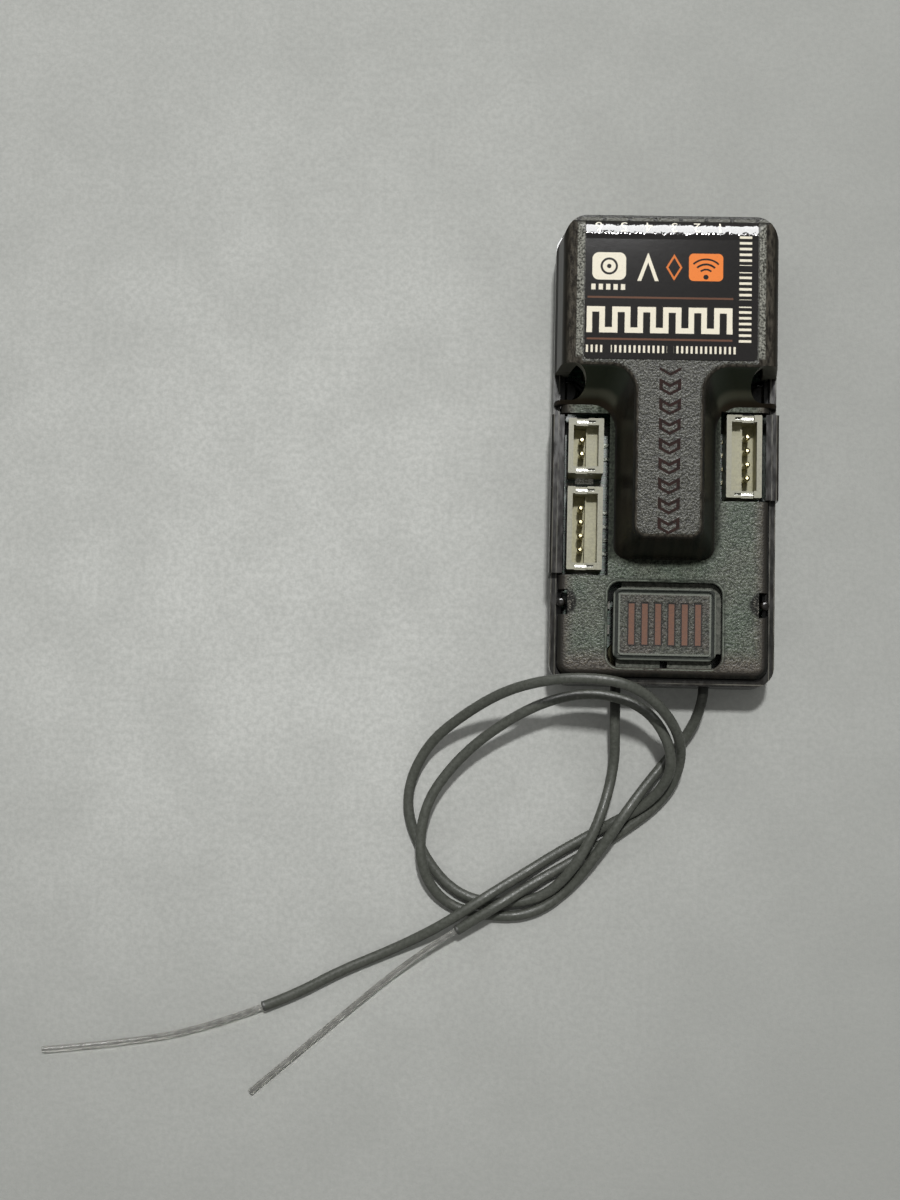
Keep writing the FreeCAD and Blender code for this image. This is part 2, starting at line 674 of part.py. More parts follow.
def make_circuit_board():
    body = new_body("circuit_board")
    half_width, rear = f"({TRAY_INNER} - board_edge_gap)", f"-({FRONT} - tray_wall - board_edge_gap)"
    sketch = new_sketch(body, "board_plan", "XY_Plane", BOARD_BOTTOM)
    rectangle(sketch, f"-{half_width}", half_width, rear, "board_front")
    blank = pad(body, "board_blank", sketch, "board_thickness")
    fillet(body, "board_corners", blank, "corner_radius - tray_wall",
           lambda middle, run: is_upright(run) and middle.y < 0)
    sketch = new_sketch(body, "post_clearance_plan", "XY_Plane", BOARD_TOP)
    for side, sign, far, close in (("left", "-", "-", "+"), ("right", "", "+", "-")):
        for across, along, cut in (("recess_x", "recess_y", "post_cut"), ("tab_x", "notch_y", "snap_cut")):
            outline(sketch, [
                (f"{sign}case_width", f"{along} {far} {cut}"), (f"{sign}{across}", f"{along} {far} {cut}"),
                (f"{sign}{across}", f"{along} {close} {cut}"), (f"{sign}case_width", f"{along} {close} {cut}")],
                {1: (f"{sign}{across}", along, "across")})
    pocket(body, "post_clearances", sketch, "board_thickness")
    for row in range(3):
        sketch = new_sketch(body, f"hole_plan_{row + 1}", "XY_Plane", BOARD_TOP)
        circle(sketch, FIRST_PORT, leg_place(row), "board_hole / 2")
        hole = pocket(body, f"hole_{row + 1}", sketch, "board_thickness")
        row_pattern(body, f"holes_{row + 1}", [hole], "X_Axis", "port_pitch", "port_count")
    return body


def leg_place(row):
    """Y of the upright legs of a row of pins, where row 0 is the lowest."""
    return f"(first_leg - leg_step * {row})"


def row_height(row):
    return f"({LOWEST_ROW} + row_pitch * {row})"


def make_servo_pins(name, row):
    """One row of bent pins: a square section that runs back from the port and down through the board."""
    body = new_body(name)
    half, tip = "(pin_section / 2)", f"({FRONT} - pin_tip_setback)"
    height, leg = row_height(row), leg_place(row)
    sketch = new_sketch(body, f"{name}_side_view", "YZ_Plane", FIRST_PORT)
    outline(sketch, [
        (tip, f"{height} - {half} / 2"), (tip, f"{height} + {half} / 2"),
        (f"{tip} - pin_section", f"{height} + {half}"), (f"{leg} - {half}", f"{height} + {half}"),
        (f"{leg} - {half}", "pin_foot"), (f"{leg} + {half}", "pin_foot"),
        (f"{leg} + {half}", f"{height} - {half}"), (f"{tip} - pin_section", f"{height} - {half}")])
    pin = pad(body, f"{name}_first", sketch, "pin_section", both_ways=True)
    row_pattern(body, f"{name}_row", [pin], "X_Axis", "port_pitch", "port_count")
    return body


def make_servo_header_block():
    body = new_body("servo_header_block")
    sketch = new_sketch(body, "header_block_front_view", "XZ_Plane", "-header_block_front")
    half = "port_pitch * port_count / 2"
    rectangle(sketch, f"port_centre - {half}", f"port_centre + {half}",
              BOARD_TOP, f"{row_height(2)} + row_pitch / 2")
    block = pad(body, "header_block", sketch, "header_block_depth")
    chamfer(body, "header_block_edges", block, "header_block_bevel",
            lambda middle, run: near(middle.y, value("header_block_front")) and middle.z > value(BOARD_TOP) + 0.1)
    for row in range(3):
        sketch = new_sketch(body, f"passage_view_{row + 1}", "XZ_Plane", "-header_block_front")
        rectangle(sketch, f"{FIRST_PORT} - pin_section / 2", f"{FIRST_PORT} + pin_section / 2",
                  f"{row_height(row)} - pin_section / 2", f"{row_height(row)} + pin_section / 2")
        passage = pocket(body, f"passage_{row + 1}", sketch, "header_block_depth", reverse=True)
        row_pattern(body, f"passages_{row + 1}", [passage], "X_Axis", "port_pitch", "port_count")
    return body


def make_port(name, sign):
    """A side header: housing, round contacts with flat tails, and a solder peg at each end.

    The contacts stand nearer the side of the case, and their tails run inwards under the housing.
    """
    half_length = f"((contact_pitch * ({name}_count - 1) + housing_end_length) / 2)"
    centre_x, centre_y = f"({sign} * housing_centre)", f"{name}_centre"
    contact_x = f"({sign} * (housing_centre + contact_offset))"
    first_y = f"({centre_y} - contact_pitch * ({name}_count - 1) / 2)"
    outer, inner = (f"({centre_x} + {sign} * {way} * housing_width / 2)" for way in ("1", "-1"))
    top = f"({BOARD_TOP} + housing_height)"

    def across(one, other):
        """Two X expressions in rising order."""
        return (one, other) if value(one) < value(other) else (other, one)

    def along(half):
        return f"{centre_y} - {half}", f"{centre_y} + {half}"

    housing = new_body(f"{name}_housing")
    sketch = new_sketch(housing, f"{name}_plan", "XY_Plane", BOARD_TOP)
    rectangle(sketch, *across(outer, inner), *along(half_length))
    block = pad(housing, f"{name}_block", sketch, "housing_height")
    fillet(housing, f"{name}_corners", block, "housing_round", lambda middle, run: is_upright(run))
    sketch = new_sketch(housing, f"{name}_well_plan", "XY_Plane", top)
    room = f"({half_length} - housing_end_wall)"
    rectangle(sketch, *across(f"{outer} - {sign} * housing_wall", f"{inner} + {sign} * housing_wall"), *along(room))
    pocket(housing, f"{name}_well", sketch, "housing_height - well_step_height")
    sketch = new_sketch(housing, f"{name}_deep_plan", "XY_Plane", f"{BOARD_TOP} + well_step_height")
    rectangle(sketch, *across(f"{outer} - {sign} * housing_wall",
                              f"{inner} + {sign} * (housing_wall + well_step_width)"), *along(room))
    pocket(housing, f"{name}_deep", sketch, "well_step_height - well_floor")
    sketch = new_sketch(housing, f"{name}_notch_plan", "XY_Plane", top)
    rectangle(sketch, f"{contact_x} - end_notch_width / 2", f"{contact_x} + end_notch_width / 2", *along(half_length))
    pocket(housing, f"{name}_notches", sketch, "end_notch_depth")
    peg_middle = f"({half_length} - housing_end_wall / 2)"
    sketch = new_sketch(housing, f"{name}_slot_plan", "XY_Plane", top)
    for way in (-1, 1):
        middle = f"({centre_y} + {way} * {peg_middle})"
        rectangle(sketch, f"{centre_x} - peg_width / 2", f"{centre_x} + peg_width / 2",
                  f"{middle} - peg_thickness / 2", f"{middle} + peg_thickness / 2")
    pocket(housing, f"{name}_slots", sketch, "housing_height")
    sketch = new_sketch(housing, f"{name}_foot_plan", "XY_Plane", BOARD_TOP)
    for way in (-1, 1):
        spots = sorted((f"{centre_y} + {way} * {peg_middle}", f"{centre_y} + {way} * {half_length}"), key=value)
        rectangle(sketch, f"{centre_x} - peg_width / 2", f"{centre_x} + peg_width / 2", *spots)
    pocket(housing, f"{name}_foot_slots", sketch, "tail_thickness", reverse=True)
    sketch = new_sketch(housing, f"{name}_bore_plan", "XY_Plane", BOARD_TOP)
    circle(sketch, contact_x, first_y, "contact_thickness / 2")
    bore = pocket(housing, f"{name}_bore", sketch, "well_floor", reverse=True)
    sketch = new_sketch(housing, f"{name}_groove_plan", "XY_Plane", BOARD_TOP)
    rectangle(sketch, *across(contact_x, inner), f"{first_y} - tail_width / 2", f"{first_y} + tail_width / 2")
    groove = pocket(housing, f"{name}_groove", sketch, "tail_thickness", reverse=True)
    row_pattern(housing, f"{name}_passages", [bore, groove], "Y_Axis", "contact_pitch", f"{name}_count")

    pins = new_body(f"{name}_pins")
    radius, shoulder = "contact_thickness / 2", f"({BOARD_TOP} + housing_height - contact_top_drop)"
    sketch = new_sketch(pins, f"{name}_pin_view", "XZ_Plane", f"-{first_y}")
    outline(sketch, [
        (contact_x, BOARD_TOP), (f"{contact_x} + {radius}", BOARD_TOP), (f"{contact_x} + {radius}", shoulder),
        (f"{contact_x} + {radius} - contact_bevel", f"{shoulder} + contact_point"),
        (contact_x, f"{shoulder} + contact_point")])
    post = turn(pins, f"{name}_pin", sketch, contact_x)
    sketch = new_sketch(pins, f"{name}_tail_plan", "XY_Plane", BOARD_TOP)
    rectangle(sketch, *across(contact_x, f"{inner} - {sign} * tail_length"),
              f"{first_y} - tail_width / 2", f"{first_y} + tail_width / 2")
    tail = pad(pins, f"{name}_tail", sketch, "tail_thickness")
    row_pattern(pins, f"{name}_row", [post, tail], "Y_Axis", "contact_pitch", f"{name}_count")

    pegs = new_body(f"{name}_pegs")
    for way, end in ((-1, "rear"), (1, "front")):
        middle = f"({centre_y} + {way} * {peg_middle})"
        sketch = new_sketch(pegs, f"{name}_{end}_plate_plan", "XY_Plane", BOARD_TOP)
        rectangle(sketch, f"{centre_x} - peg_width / 2", f"{centre_x} + peg_width / 2",
                  f"{middle} - peg_thickness / 2", f"{middle} + peg_thickness / 2")
        pad(pegs, f"{name}_{end}_plate", sketch, "peg_height")
        sketch = new_sketch(pegs, f"{name}_{end}_foot_plan", "XY_Plane", BOARD_TOP)
        spots = sorted((f"{middle} + {way} * peg_thickness / 2",
                        f"{centre_y} + {way} * ({half_length} + peg_foot)"), key=value)
        rectangle(sketch, f"{centre_x} - peg_width / 2", f"{centre_x} + peg_width / 2", *spots)
        pad(pegs, f"{name}_{end}_foot", sketch, "tail_thickness")
    return housing, pins, pegs


PAD_UNDERSIDE = "(deck_height - pad_thickness)"
PLUNGER_TOP = f"({BOARD_TOP} + switch_height + plunger_rise)"
FIRST_INLAY = "(pad_x - inlay_pitch * (inlay_count - 1) / 2)"


def make_bind_button():
    """The push pad, with grooves for the inlays, two lugs and a flange under the deck, and a stem."""
    body = new_body("bind_button")
    sketch = new_sketch(body, "pad_plan", "XY_Plane", PAD_UNDERSIDE)
    rectangle(sketch, "pad_x - pad_width / 2", "pad_x + pad_width / 2",
              "pad_y - pad_length / 2", "pad_y + pad_length / 2")
    plate = pad(body, "pad_plate", sketch, "pad_thickness")
    plate = fillet(body, "pad_corners", plate, "pad_corner", lambda middle, run: is_upright(run))
    fillet(body, "pad_edge", plate, "pad_edge_round", lambda middle, run: near(middle.z, value("deck_height")))
    sketch = new_sketch(body, "border_plan", "XY_Plane", "deck_height")
    for inset in ("border_inset", "(border_inset + border_width)"):
        rounded_rectangle(sketch, f"(pad_x - pad_width / 2 + {inset})", f"(pad_x + pad_width / 2 - {inset})",
                          f"(pad_y - pad_length / 2 + {inset})", f"(pad_y + pad_length / 2 - {inset})",
                          f"(pad_corner - {inset} / 2)")
    pocket(body, "border_groove", sketch, "border_depth")
    sketch = new_sketch(body, "lug_plan", "XY_Plane", PAD_UNDERSIDE)
    for way in (-1, 1):
        rectangle(sketch, f"pad_x + {way} * lug_spread / 2 - lug_width / 2",
                  f"pad_x + {way} * lug_spread / 2 + lug_width / 2",
                  "pad_y - pad_length / 2 - window_gap_rear - lug_lap", "pad_y - pad_length / 2 + 0.5")
    rectangle(sketch, "pad_x - pad_width / 2 + pad_corner",
              "pad_x + pad_width / 2 + window_gap_side + flange_lap",
              "pad_y - pad_length / 2 + pad_corner",
              "pad_y + pad_length / 2 + window_gap_front + flange_lap")
    pad(body, "lugs", sketch, "lug_height")
    sketch = new_sketch(body, "stem_plan", "XY_Plane", PLUNGER_TOP)
    circle(sketch, "pad_x", "pad_y", "stem_radius")
    pad(body, "stem", sketch, f"{PAD_UNDERSIDE} - {PLUNGER_TOP} + 0.1")
    sketch = new_sketch(body, "inlay_groove_plan", "XY_Plane", "deck_height")
    rectangle(sketch, f"{FIRST_INLAY} - inlay_width / 2", f"{FIRST_INLAY} + inlay_width / 2",
              "pad_y - inlay_length / 2", "pad_y + inlay_length / 2")
    groove = pocket(body, "inlay_groove", sketch, "inlay_depth")
    row_pattern(body, "inlay_grooves", [groove], "X_Axis", "inlay_pitch", "inlay_count")
    return body


def make_button_bars():
    body = new_body("button_bars")
    half_width, half_length = "(inlay_width / 2 - inlay_gap)", "(inlay_length / 2 - inlay_gap)"
    sketch = new_sketch(body, "bar_plan", "XY_Plane", "deck_height - inlay_depth")
    rectangle(sketch, f"{FIRST_INLAY} - {half_width}", f"{FIRST_INLAY} + {half_width}",
              f"pad_y - {half_length}", f"pad_y + {half_length}")
    bar = pad(body, "bar", sketch, "inlay_depth - inlay_sink")
    row_pattern(body, "bar_row", [bar], "X_Axis", "inlay_pitch", "inlay_count")
    return body


def make_switch():
    """A low tactile switch: its body on the board, and the round plunger that the stem rests on."""
    body = new_body("switch_body")
    sketch = new_sketch(body, "switch_plan", "XY_Plane", BOARD_TOP)
    rectangle(sketch, "pad_x - switch_width / 2", "pad_x + switch_width / 2",
              "pad_y - switch_length / 2", "pad_y + switch_length / 2")
    block = pad(body, "switch_block", sketch, "switch_height")
    chamfer(body, "switch_corners", block, "switch_bevel", lambda middle, run: is_upright(run))
    sketch = new_sketch(body, "switch_bore_plan", "XY_Plane", f"{BOARD_TOP} + switch_height")
    circle(sketch, "pad_x", "pad_y", "plunger_radius + plunger_gap")
    pocket(body, "switch_bore", sketch, "plunger_sink + pad_travel + plunger_gap")
    plunger = new_body("switch_plunger")
    sketch = new_sketch(plunger, "plunger_plan", "XY_Plane", f"{PLUNGER_TOP} - plunger_rise - plunger_sink")
    circle(sketch, "pad_x", "pad_y", "plunger_radius")
    pad(plunger, "plunger", sketch, "plunger_rise + plunger_sink")
    return body, plunger


# Chips on the board: centre, width across and length along the case, height, and corner bevel.
CHIPS = {
    "microcontroller": ("0", "port_c_centre + 0.6", "7", "7", "0.9", "0.25"),
    "radio_shield": ("1.4", "port_c_centre - 9", "8.6", "6", "1.6", "0.35"),
    "crystal_can": ("-4.4", "port_c_centre - 6.4", "2.5", "3.2", "0.7", "0.3"),
    "motion_sensor": ("-2.6", "first_leg - 7.2", "3", "3", "0.9", "0.1"),
    "pressure_sensor": ("3", "first_leg - 7.2", "2.5", "3", "1.1", "0.3"),
    "regulator": ("housing_centre - 0.3", "port_c_centre - 10.6", "3", "3", "1.4", "0.15"),
    "status_led": ("housing_centre + 0.1", "port_c_centre - 7.3", "1.6", "0.8", "0.6", "0.08"),
}


def make_chip(name):
    across, along, width, length, height, bevel = CHIPS[name]
    block = doc.addObject("Part::Box", f"{name}_block")
    block.setExpression("Length", width)
    block.setExpression("Width", length)
    block.setExpression("Height", height)
    block.setExpression("Placement.Base.x", bound(f"{across} - {width} / 2"))
    block.setExpression("Placement.Base.y", bound(f"{along} - {length} / 2"))
    block.setExpression("Placement.Base.z", bound(BOARD_TOP))
    doc.recompute()
    chip = doc.addObject("Part::Chamfer", name)
    chip.Label = name
    chip.Base = block
    size = float(bevel)
    top = value(BOARD_TOP) + float(height)
    chip.Edges = [(number, size, size) for number, edge in enumerate(block.Shape.Edges, start=1)
                  if near(edge.CenterOfMass.z, top)]
    doc.recompute()
    return chip


# Small parts that show as light ticks round the window and between the left headers.
SMALL_PARTS = [
    ("pad_x - 5.95", "pad_y + 2.45", "0.5", "1"), ("pad_x - 5.95", "pad_y - 0.35", "0.5", "1"),
    ("pad_x + 6.1", "pad_y + 1.35", "0.5", "1"), ("-housing_centre - 1.6", "port_a_centre - 3.72", "0.8", "0.4"),
    ("-housing_centre + 1.6", "port_a_centre - 3.72", "0.8", "0.4"), ("-1.4", "pad_y + 5.15", "0.5", "1"),
    ("-0.2", "pad_y + 5.15", "0.5", "1"), ("1", "pad_y + 5.15", "0.5", "1"),
    ("5.2", "port_c_centre + 2.2", "0.5", "1"), ("5.2", "port_c_centre - 0.4", "0.5", "1"),
    ("-5", "port_a_centre + 1.55", "0.5", "1"), ("housing_centre - 0.1", "port_c_centre - 13.4", "1", "0.5")]


def make_board_capacitors():
    blocks = []
    for number, (across, along, width, length) in enumerate(SMALL_PARTS, start=1):
        block = doc.addObject("Part::Box", f"capacitor_{number}")
        block.setExpression("Length", width)
        block.setExpression("Width", length)
        block.setExpression("Height", bound("capacitor_height"))
        block.setExpression("Placement.Base.x", bound(f"{across} - {width} / 2"))
        block.setExpression("Placement.Base.y", bound(f"{along} - {length} / 2"))
        block.setExpression("Placement.Base.z", bound(BOARD_TOP))
        blocks.append(block)
    group = doc.addObject("Part::Compound", "board_capacitors")
    group.Label = "board_capacitors"
    group.Links = blocks
    doc.recompute()
    return group


def make_coax_plug(side, sign):
    """The round board plug of an antenna, with the crimp that the cable leaves at its rear."""
    body = new_body(f"coax_plug_{side}")
    centre_x, centre_y = f"({sign} * antenna_spread / 2)", f"(-{FRONT} + plug_setback + crimp_length)"
    sketch = new_sketch(body, f"{side}_plug_plan", "XY_Plane", BOARD_TOP)
    circle(sketch, centre_x, centre_y, "plug_radius")
    cap = pad(body, f"{side}_plug", sketch, "plug_height")
    fillet(body, f"{side}_plug_edge", cap, "plug_edge_round",
           lambda middle, run: near(middle.z, value(f"{BOARD_TOP} + plug_height")))
    sketch = new_sketch(body, f"{side}_crimp_plan", "XY_Plane", f"antenna_height - crimp_width / 2")
    rectangle(sketch, f"{centre_x} - crimp_width / 2", f"{centre_x} + crimp_width / 2",
              f"{centre_y} - crimp_length", centre_y)
    pad(body, f"{side}_crimp", sketch, "crimp_width")
    return body


def bent_path(points):
    """Straight runs joined by tangent arcs, each as large as its two runs allow. Also the tightest radius."""
    edges = []
    start = points[0]
    tightest = None
    for before, corner, after in zip(points, points[1:], points[2:]):
        arriving, leaving = corner - before, after - corner
        half_turn = arriving.getAngle(leaving) / 2
        setback = ARC_SHARE * min(arriving.Length, leaving.Length)
        radius = setback / math.tan(half_turn)
        tightest = radius if tightest is None else min(tightest, radius)
        arriving.normalize()
        leaving.normalize()
        first, last = corner - arriving * setback, corner + leaving * setback
        inward = (leaving - arriving).normalize()
        middle = corner + inward * (radius / math.cos(half_turn) - radius)
        edges.append(Part.LineSegment(start, first).toShape())
        edges.append(Part.Arc(first, middle, last).toShape())
        start = last
    edges.append(Part.LineSegment(start, points[-1]).toShape())
    return Part.Wire(edges), tightest


def make_tube(name, points, diameter):
    """A round cable or wire along a route. Its volume is compared with its section times its length."""
    points = [Vector(*point) for point in points]
    path, tightest = bent_path(points)
    ring = Part.Wire([Part.Circle(points[0], points[1] - points[0], diameter / 2).toShape()])
    feature = doc.addObject("Part::Feature", name)
    feature.Label = name
    feature.Shape = path.makePipeShell([ring], True, False)
    expected = math.pi * diameter ** 2 / 4 * path.Length
    print(f"{name}: length {path.Length:.2f}, tightest radius {tightest:.2f} mm, "
          f"{tightest / diameter:.1f} diameters, volume {feature.Shape.Volume / expected:.4f} of expected")
    return feature


ARC_SHARE = 0.45
EXIT_Y = -value(FRONT)
EXIT_X = value("antenna_spread / 2")
EXIT_Z = value("antenna_height")
COAX = value("coax_diameter")
BARE = value("tip_diameter")

# Each antenna leaves the case, drops to the surface, turns once through a loop that leans on the
# rear edge of the case, and runs out to the lower left under and over its neighbour.
LEFT_ROUTE = [
    (-EXIT_X, EXIT_Y, EXIT_Z), (-EXIT_X, -28.6, EXIT_Z), (-4.55, -33.6, 1.0), (-6.2, -39.6, 2.5),
    (-8.8, -44.6, 2.45), (-12.0, -47.9, 0.8), (-16.6, -48.8, 0.6), (-21.5, -47.9, 0.62),
    (-25.3, -43.8, 0.6), (-27.6, -37.8, 0.62), (-25.4, -31.8, 1.7), (-20.6, -27.9, 4.6),
    (-15.6, -25.3, 8.4), (-9.4, -24.3, 10.9), (-3.4, -25.1, 10.9), (1.9, -28.2, 6.4),
    (3.6, -34.0, 2.3), (0.6, -38.5, 0.7), (-4.9, -41.3, 0.6), (-9.4, -44.2, 0.6),
    (-12.9, -46.2, 0.75), (-16.3, -48.35, 2.35), (-19.4, -50.3, 2.2), (-21.4, -51.6, 1.8)]
LEFT_TIP = [LEFT_ROUTE[-1], (-26.0, -54.59, 0.88), (-34.2, -61.6, 0.36), (-43.4, -69.6, 0.38)]
RIGHT_ROUTE = [
    (EXIT_X, EXIT_Y, EXIT_Z), (EXIT_X, -28.5, EXIT_Z), (3.0, -31.9, 1.4), (-0.5, -34.8, 1.2),
    (-3.2, -38.1, 2.5), (-5.7, -42.0, 2.45), (-8.8, -46.7, 0.62), (-13.0, -49.9, 0.6),
    (-18.0, -50.3, 0.6), (-23.2, -49.2, 0.62), (-26.0, -44.7, 2.35), (-25.4, -38.2, 2.4),
    (-21.8, -33.2, 2.6), (-17.3, -29.6, 4.1), (-12.0, -27.2, 5.4), (-6.0, -26.8, 5.8),
    (-0.5, -28.4, 5.8), (2.2, -33.4, 4.2), (-0.2, -37.3, 0.9), (-5.2, -39.8, 0.6),
    (-10.6, -43.0, 0.62), (-14.6, -45.6, 0.95), (-18.1, -47.9, 2.45), (-23.0, -51.1, 2.1),
    (-28.3, -53.9, 0.62), (-33.9, -56.3, 0.6), (-38.8, -59.0, 0.66), (-42.3, -60.4, 0.6)]
RIGHT_TIP = [RIGHT_ROUTE[-1], (-48.6, -62.92, 0.49), (-57.2, -64.7, 0.38), (-66.3, -65.7, 0.4)]


def make_antennas():
    made = []
    for side, sign, route, tip in (("left", -1, LEFT_ROUTE, LEFT_TIP), ("right", 1, RIGHT_ROUTE, RIGHT_TIP)):
        made.append(make_coax_plug(side, sign))
        inside = doc.addObject("Part::Cylinder", f"coax_inside_{side}")
        inside.Label = f"coax_inside_{side}"
        inside.setExpression("Radius", bound("coax_diameter / 2"))
        inside.setExpression("Height", bound("plug_setback"))
        inside.setExpression("Placement.Base.x", bound(f"{sign} * antenna_spread / 2"))
        inside.setExpression("Placement.Base.y", bound(f"-{FRONT} + plug_setback"))
        inside.setExpression("Placement.Base.z", bound("antenna_height"))
        inside.Placement.Rotation = Rotation(Vector(1, 0, 0), 90)
        doc.recompute()
        made.append(inside)
        made.append(make_tube(f"antenna_lead_{side}", route, COAX))
        made.append(make_tube(f"antenna_tip_{side}", tip, BARE))
    return made


PIECES = {}


def keep(*pieces):
    """Counts finished objects among the sub-parts, each under its label."""
    for piece in pieces:
        PIECES[piece.Label] = piece


keep(make_case_bottom(), make_case_top(), make_label(), make_circuit_board(), make_servo_header_block())
for row, name in enumerate(("negative_pins", "positive_pins", "signal_pins")):
    keep(make_servo_pins(name, row))
for name, sign in (("port_a", -1), ("port_b", -1), ("port_c", 1)):
    keep(*make_port(name, sign))
keep(make_bind_button(), make_button_bars(), *make_switch())
keep(*(make_chip(name) for name in CHIPS), make_board_capacitors())
keep(*make_antennas())

doc.recompute()
for item in doc.Objects:
    if "Invalid" in item.State or "Error" in item.State:
        raise RuntimeError(f"{item.Name} failed: {item.State}")
for label, piece in PIECES.items():
    shape = piece.Shape
    if shape.isNull() or not shape.isValid():
        raise RuntimeError(f"{label} has no valid shape")
for label, piece in PIECES.items():
    piece.Shape.exportStep(os.path.join("parts", label + ".step"))
    box = piece.Shape.BoundBox
    print(f"{label}: {len(piece.Shape.Solids)} solids, {piece.Shape.Volume:.1f} mm3, "
          f"{box.XMin:.2f}..{box.XMax:.2f} {box.YMin:.2f}..{box.YMax:.2f} {box.ZMin:.2f}..{box.ZMax:.2f}")
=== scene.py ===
"""A small radio-control receiver with its two antennas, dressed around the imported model.

Metres, in the model's own frame: X across the case, +Y to the servo ports, +Z up, and the floor at z = 0.
"""
import math

import bmesh
import bpy
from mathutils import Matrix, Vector


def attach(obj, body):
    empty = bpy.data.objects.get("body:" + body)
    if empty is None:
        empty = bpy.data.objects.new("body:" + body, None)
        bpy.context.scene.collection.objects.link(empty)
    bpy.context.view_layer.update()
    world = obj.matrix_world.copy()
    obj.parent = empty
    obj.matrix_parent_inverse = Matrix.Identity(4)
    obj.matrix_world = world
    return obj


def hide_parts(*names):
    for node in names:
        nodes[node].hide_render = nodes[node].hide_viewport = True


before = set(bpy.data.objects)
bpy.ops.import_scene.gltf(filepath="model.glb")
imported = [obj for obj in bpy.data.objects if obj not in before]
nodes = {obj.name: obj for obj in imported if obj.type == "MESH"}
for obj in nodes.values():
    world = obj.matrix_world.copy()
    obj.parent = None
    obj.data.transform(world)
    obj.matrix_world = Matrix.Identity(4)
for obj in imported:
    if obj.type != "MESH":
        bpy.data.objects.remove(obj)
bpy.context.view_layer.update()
MM = 0.001

# Measures of the model that several pieces share, in millimetres
SHEATH, BARE_END, WIRE = 1.13, 0.68, 0.22
BEND_Y, BEND_Z, BEND_RADIUS = 22.6, 11.0, 2.2
PAD_X, WINDOW_Y, PANEL_Y = 0.2, -18.425, -18.35
TAB_X, TAB_Y = 10.6, -16.1


def in_metres(points):
    """The same points, given in millimetres, in metres."""
    return [tuple(x * MM for x in point) for point in points]


def linear(red, green, blue):
    """A colour written in 0 to 255, as the renderer's own colour with alpha."""
    channels = []
    for value in (red, green, blue):
        share = value / 255
        channels.append(share / 12.92 if share <= 0.04045 else ((share + 0.055) / 1.055) ** 2.4)
    return (*channels, 1.0)


# Camera, at the photograph's viewing angle

lens = bpy.data.cameras.new("camera")
lens.sensor_fit = "VERTICAL"
lens.sensor_width = 24
lens.sensor_height = 24
lens.lens = 40.0
lens.clip_start = 0.01
lens.clip_end = 20
camera = bpy.data.objects.new("camera", lens)
camera.location = (-0.01614393, -0.03640478, 0.22070819)
camera.rotation_euler = [math.radians(turn) for turn in (5.44566905, 1.65473991, 1.35289856)]
bpy.context.scene.collection.objects.link(camera)
bpy.context.scene.camera = camera


# Antennas: grey sheath, clear core with its wire, close to the routes of the model

EXIT_X, EXIT_Y, EXIT_Z = 4.75, -24.8, 3.6
LEFT_ROUTE = [
    (-EXIT_X, EXIT_Y, EXIT_Z), (-EXIT_X, -28.6, EXIT_Z), (-4.55, -33.6, 1.0), (-6.2, -39.6, 2.5),
    (-8.8, -44.6, 2.45), (-12.0, -47.9, 0.8), (-16.6, -48.8, 0.6), (-21.5, -47.9, 0.62),
    (-25.3, -43.8, 0.6), (-27.6, -37.8, 0.62), (-25.4, -31.8, 1.7), (-20.6, -27.9, 4.6),
    (-15.6, -25.3, 8.4), (-9.4, -24.3, 10.9), (-3.2, -24.9, 10.9), (1.1, -28.3, 7.6),
    (2.85, -32.3, 3.2), (0.9, -37.1, 0.7), (-4.5, -41.2, 0.6), (-9.4, -44.2, 0.6),
    (-12.9, -46.2, 0.75), (-16.3, -48.35, 2.35), (-19.4, -50.3, 2.2), (-21.4, -51.6, 1.8)]
LEFT_TIP = [LEFT_ROUTE[-1], (-26.0, -54.59, 0.88), (-34.2, -61.6, 0.36), (-43.4, -69.6, 0.38)]
RIGHT_ROUTE = [
    (EXIT_X, EXIT_Y, EXIT_Z), (4.7, -26.6, 3.55), (3.3, -30.0, 1.3), (0.0, -34.0, 0.9),
    (-3.0, -37.9, 2.6), (-5.55, -41.8, 2.45), (-8.8, -46.5, 0.62), (-13.0, -49.8, 0.6),
    (-18.0, -50.1, 0.6), (-23.0, -48.9, 0.62), (-25.7, -44.6, 2.35), (-25.3, -38.2, 2.4),
    (-21.8, -33.2, 2.6), (-17.3, -29.4, 4.1), (-12.0, -26.5, 5.4), (-6.4, -25.55, 5.6),
    (-0.8, -27.5, 5.6), (1.9, -33.0, 4.9), (-0.4, -37.2, 1.9), (-5.2, -39.9, 0.6),
    (-10.6, -43.0, 0.62), (-14.6, -45.6, 0.95), (-18.1, -47.75, 2.45), (-23.0, -51.1, 2.1),
    (-28.3, -53.9, 0.62), (-33.9, -56.3, 0.6), (-38.8, -59.0, 0.66), (-42.3, -60.4, 0.6)]
RIGHT_TIP = [RIGHT_ROUTE[-1], (-48.6, -62.92, 0.49), (-57.2, -64.7, 0.38), (-66.3, -65.7, 0.4)]


def tube(name, points, diameter):
    """A round cord along a smooth spline with these control points, in millimetres."""
    data = bpy.data.curves.new(name, "CURVE")
    data.dimensions = "3D"
    data.bevel_depth = 1.0
    data.bevel_resolution = 6
    data.resolution_u = 12
    data.use_fill_caps = True
    spline = data.splines.new("NURBS")
    spline.points.add(len(points) - 1)
    for point, place in zip(spline.points, in_metres(points)):
        point.co = (*place, 1.0)
        point.radius = diameter / 2 * MM
    spline.order_u = 3
    spline.use_endpoint_u = True
    cord = bpy.data.objects.new(name, data)
    bpy.context.scene.collection.objects.link(cord)
    return cord


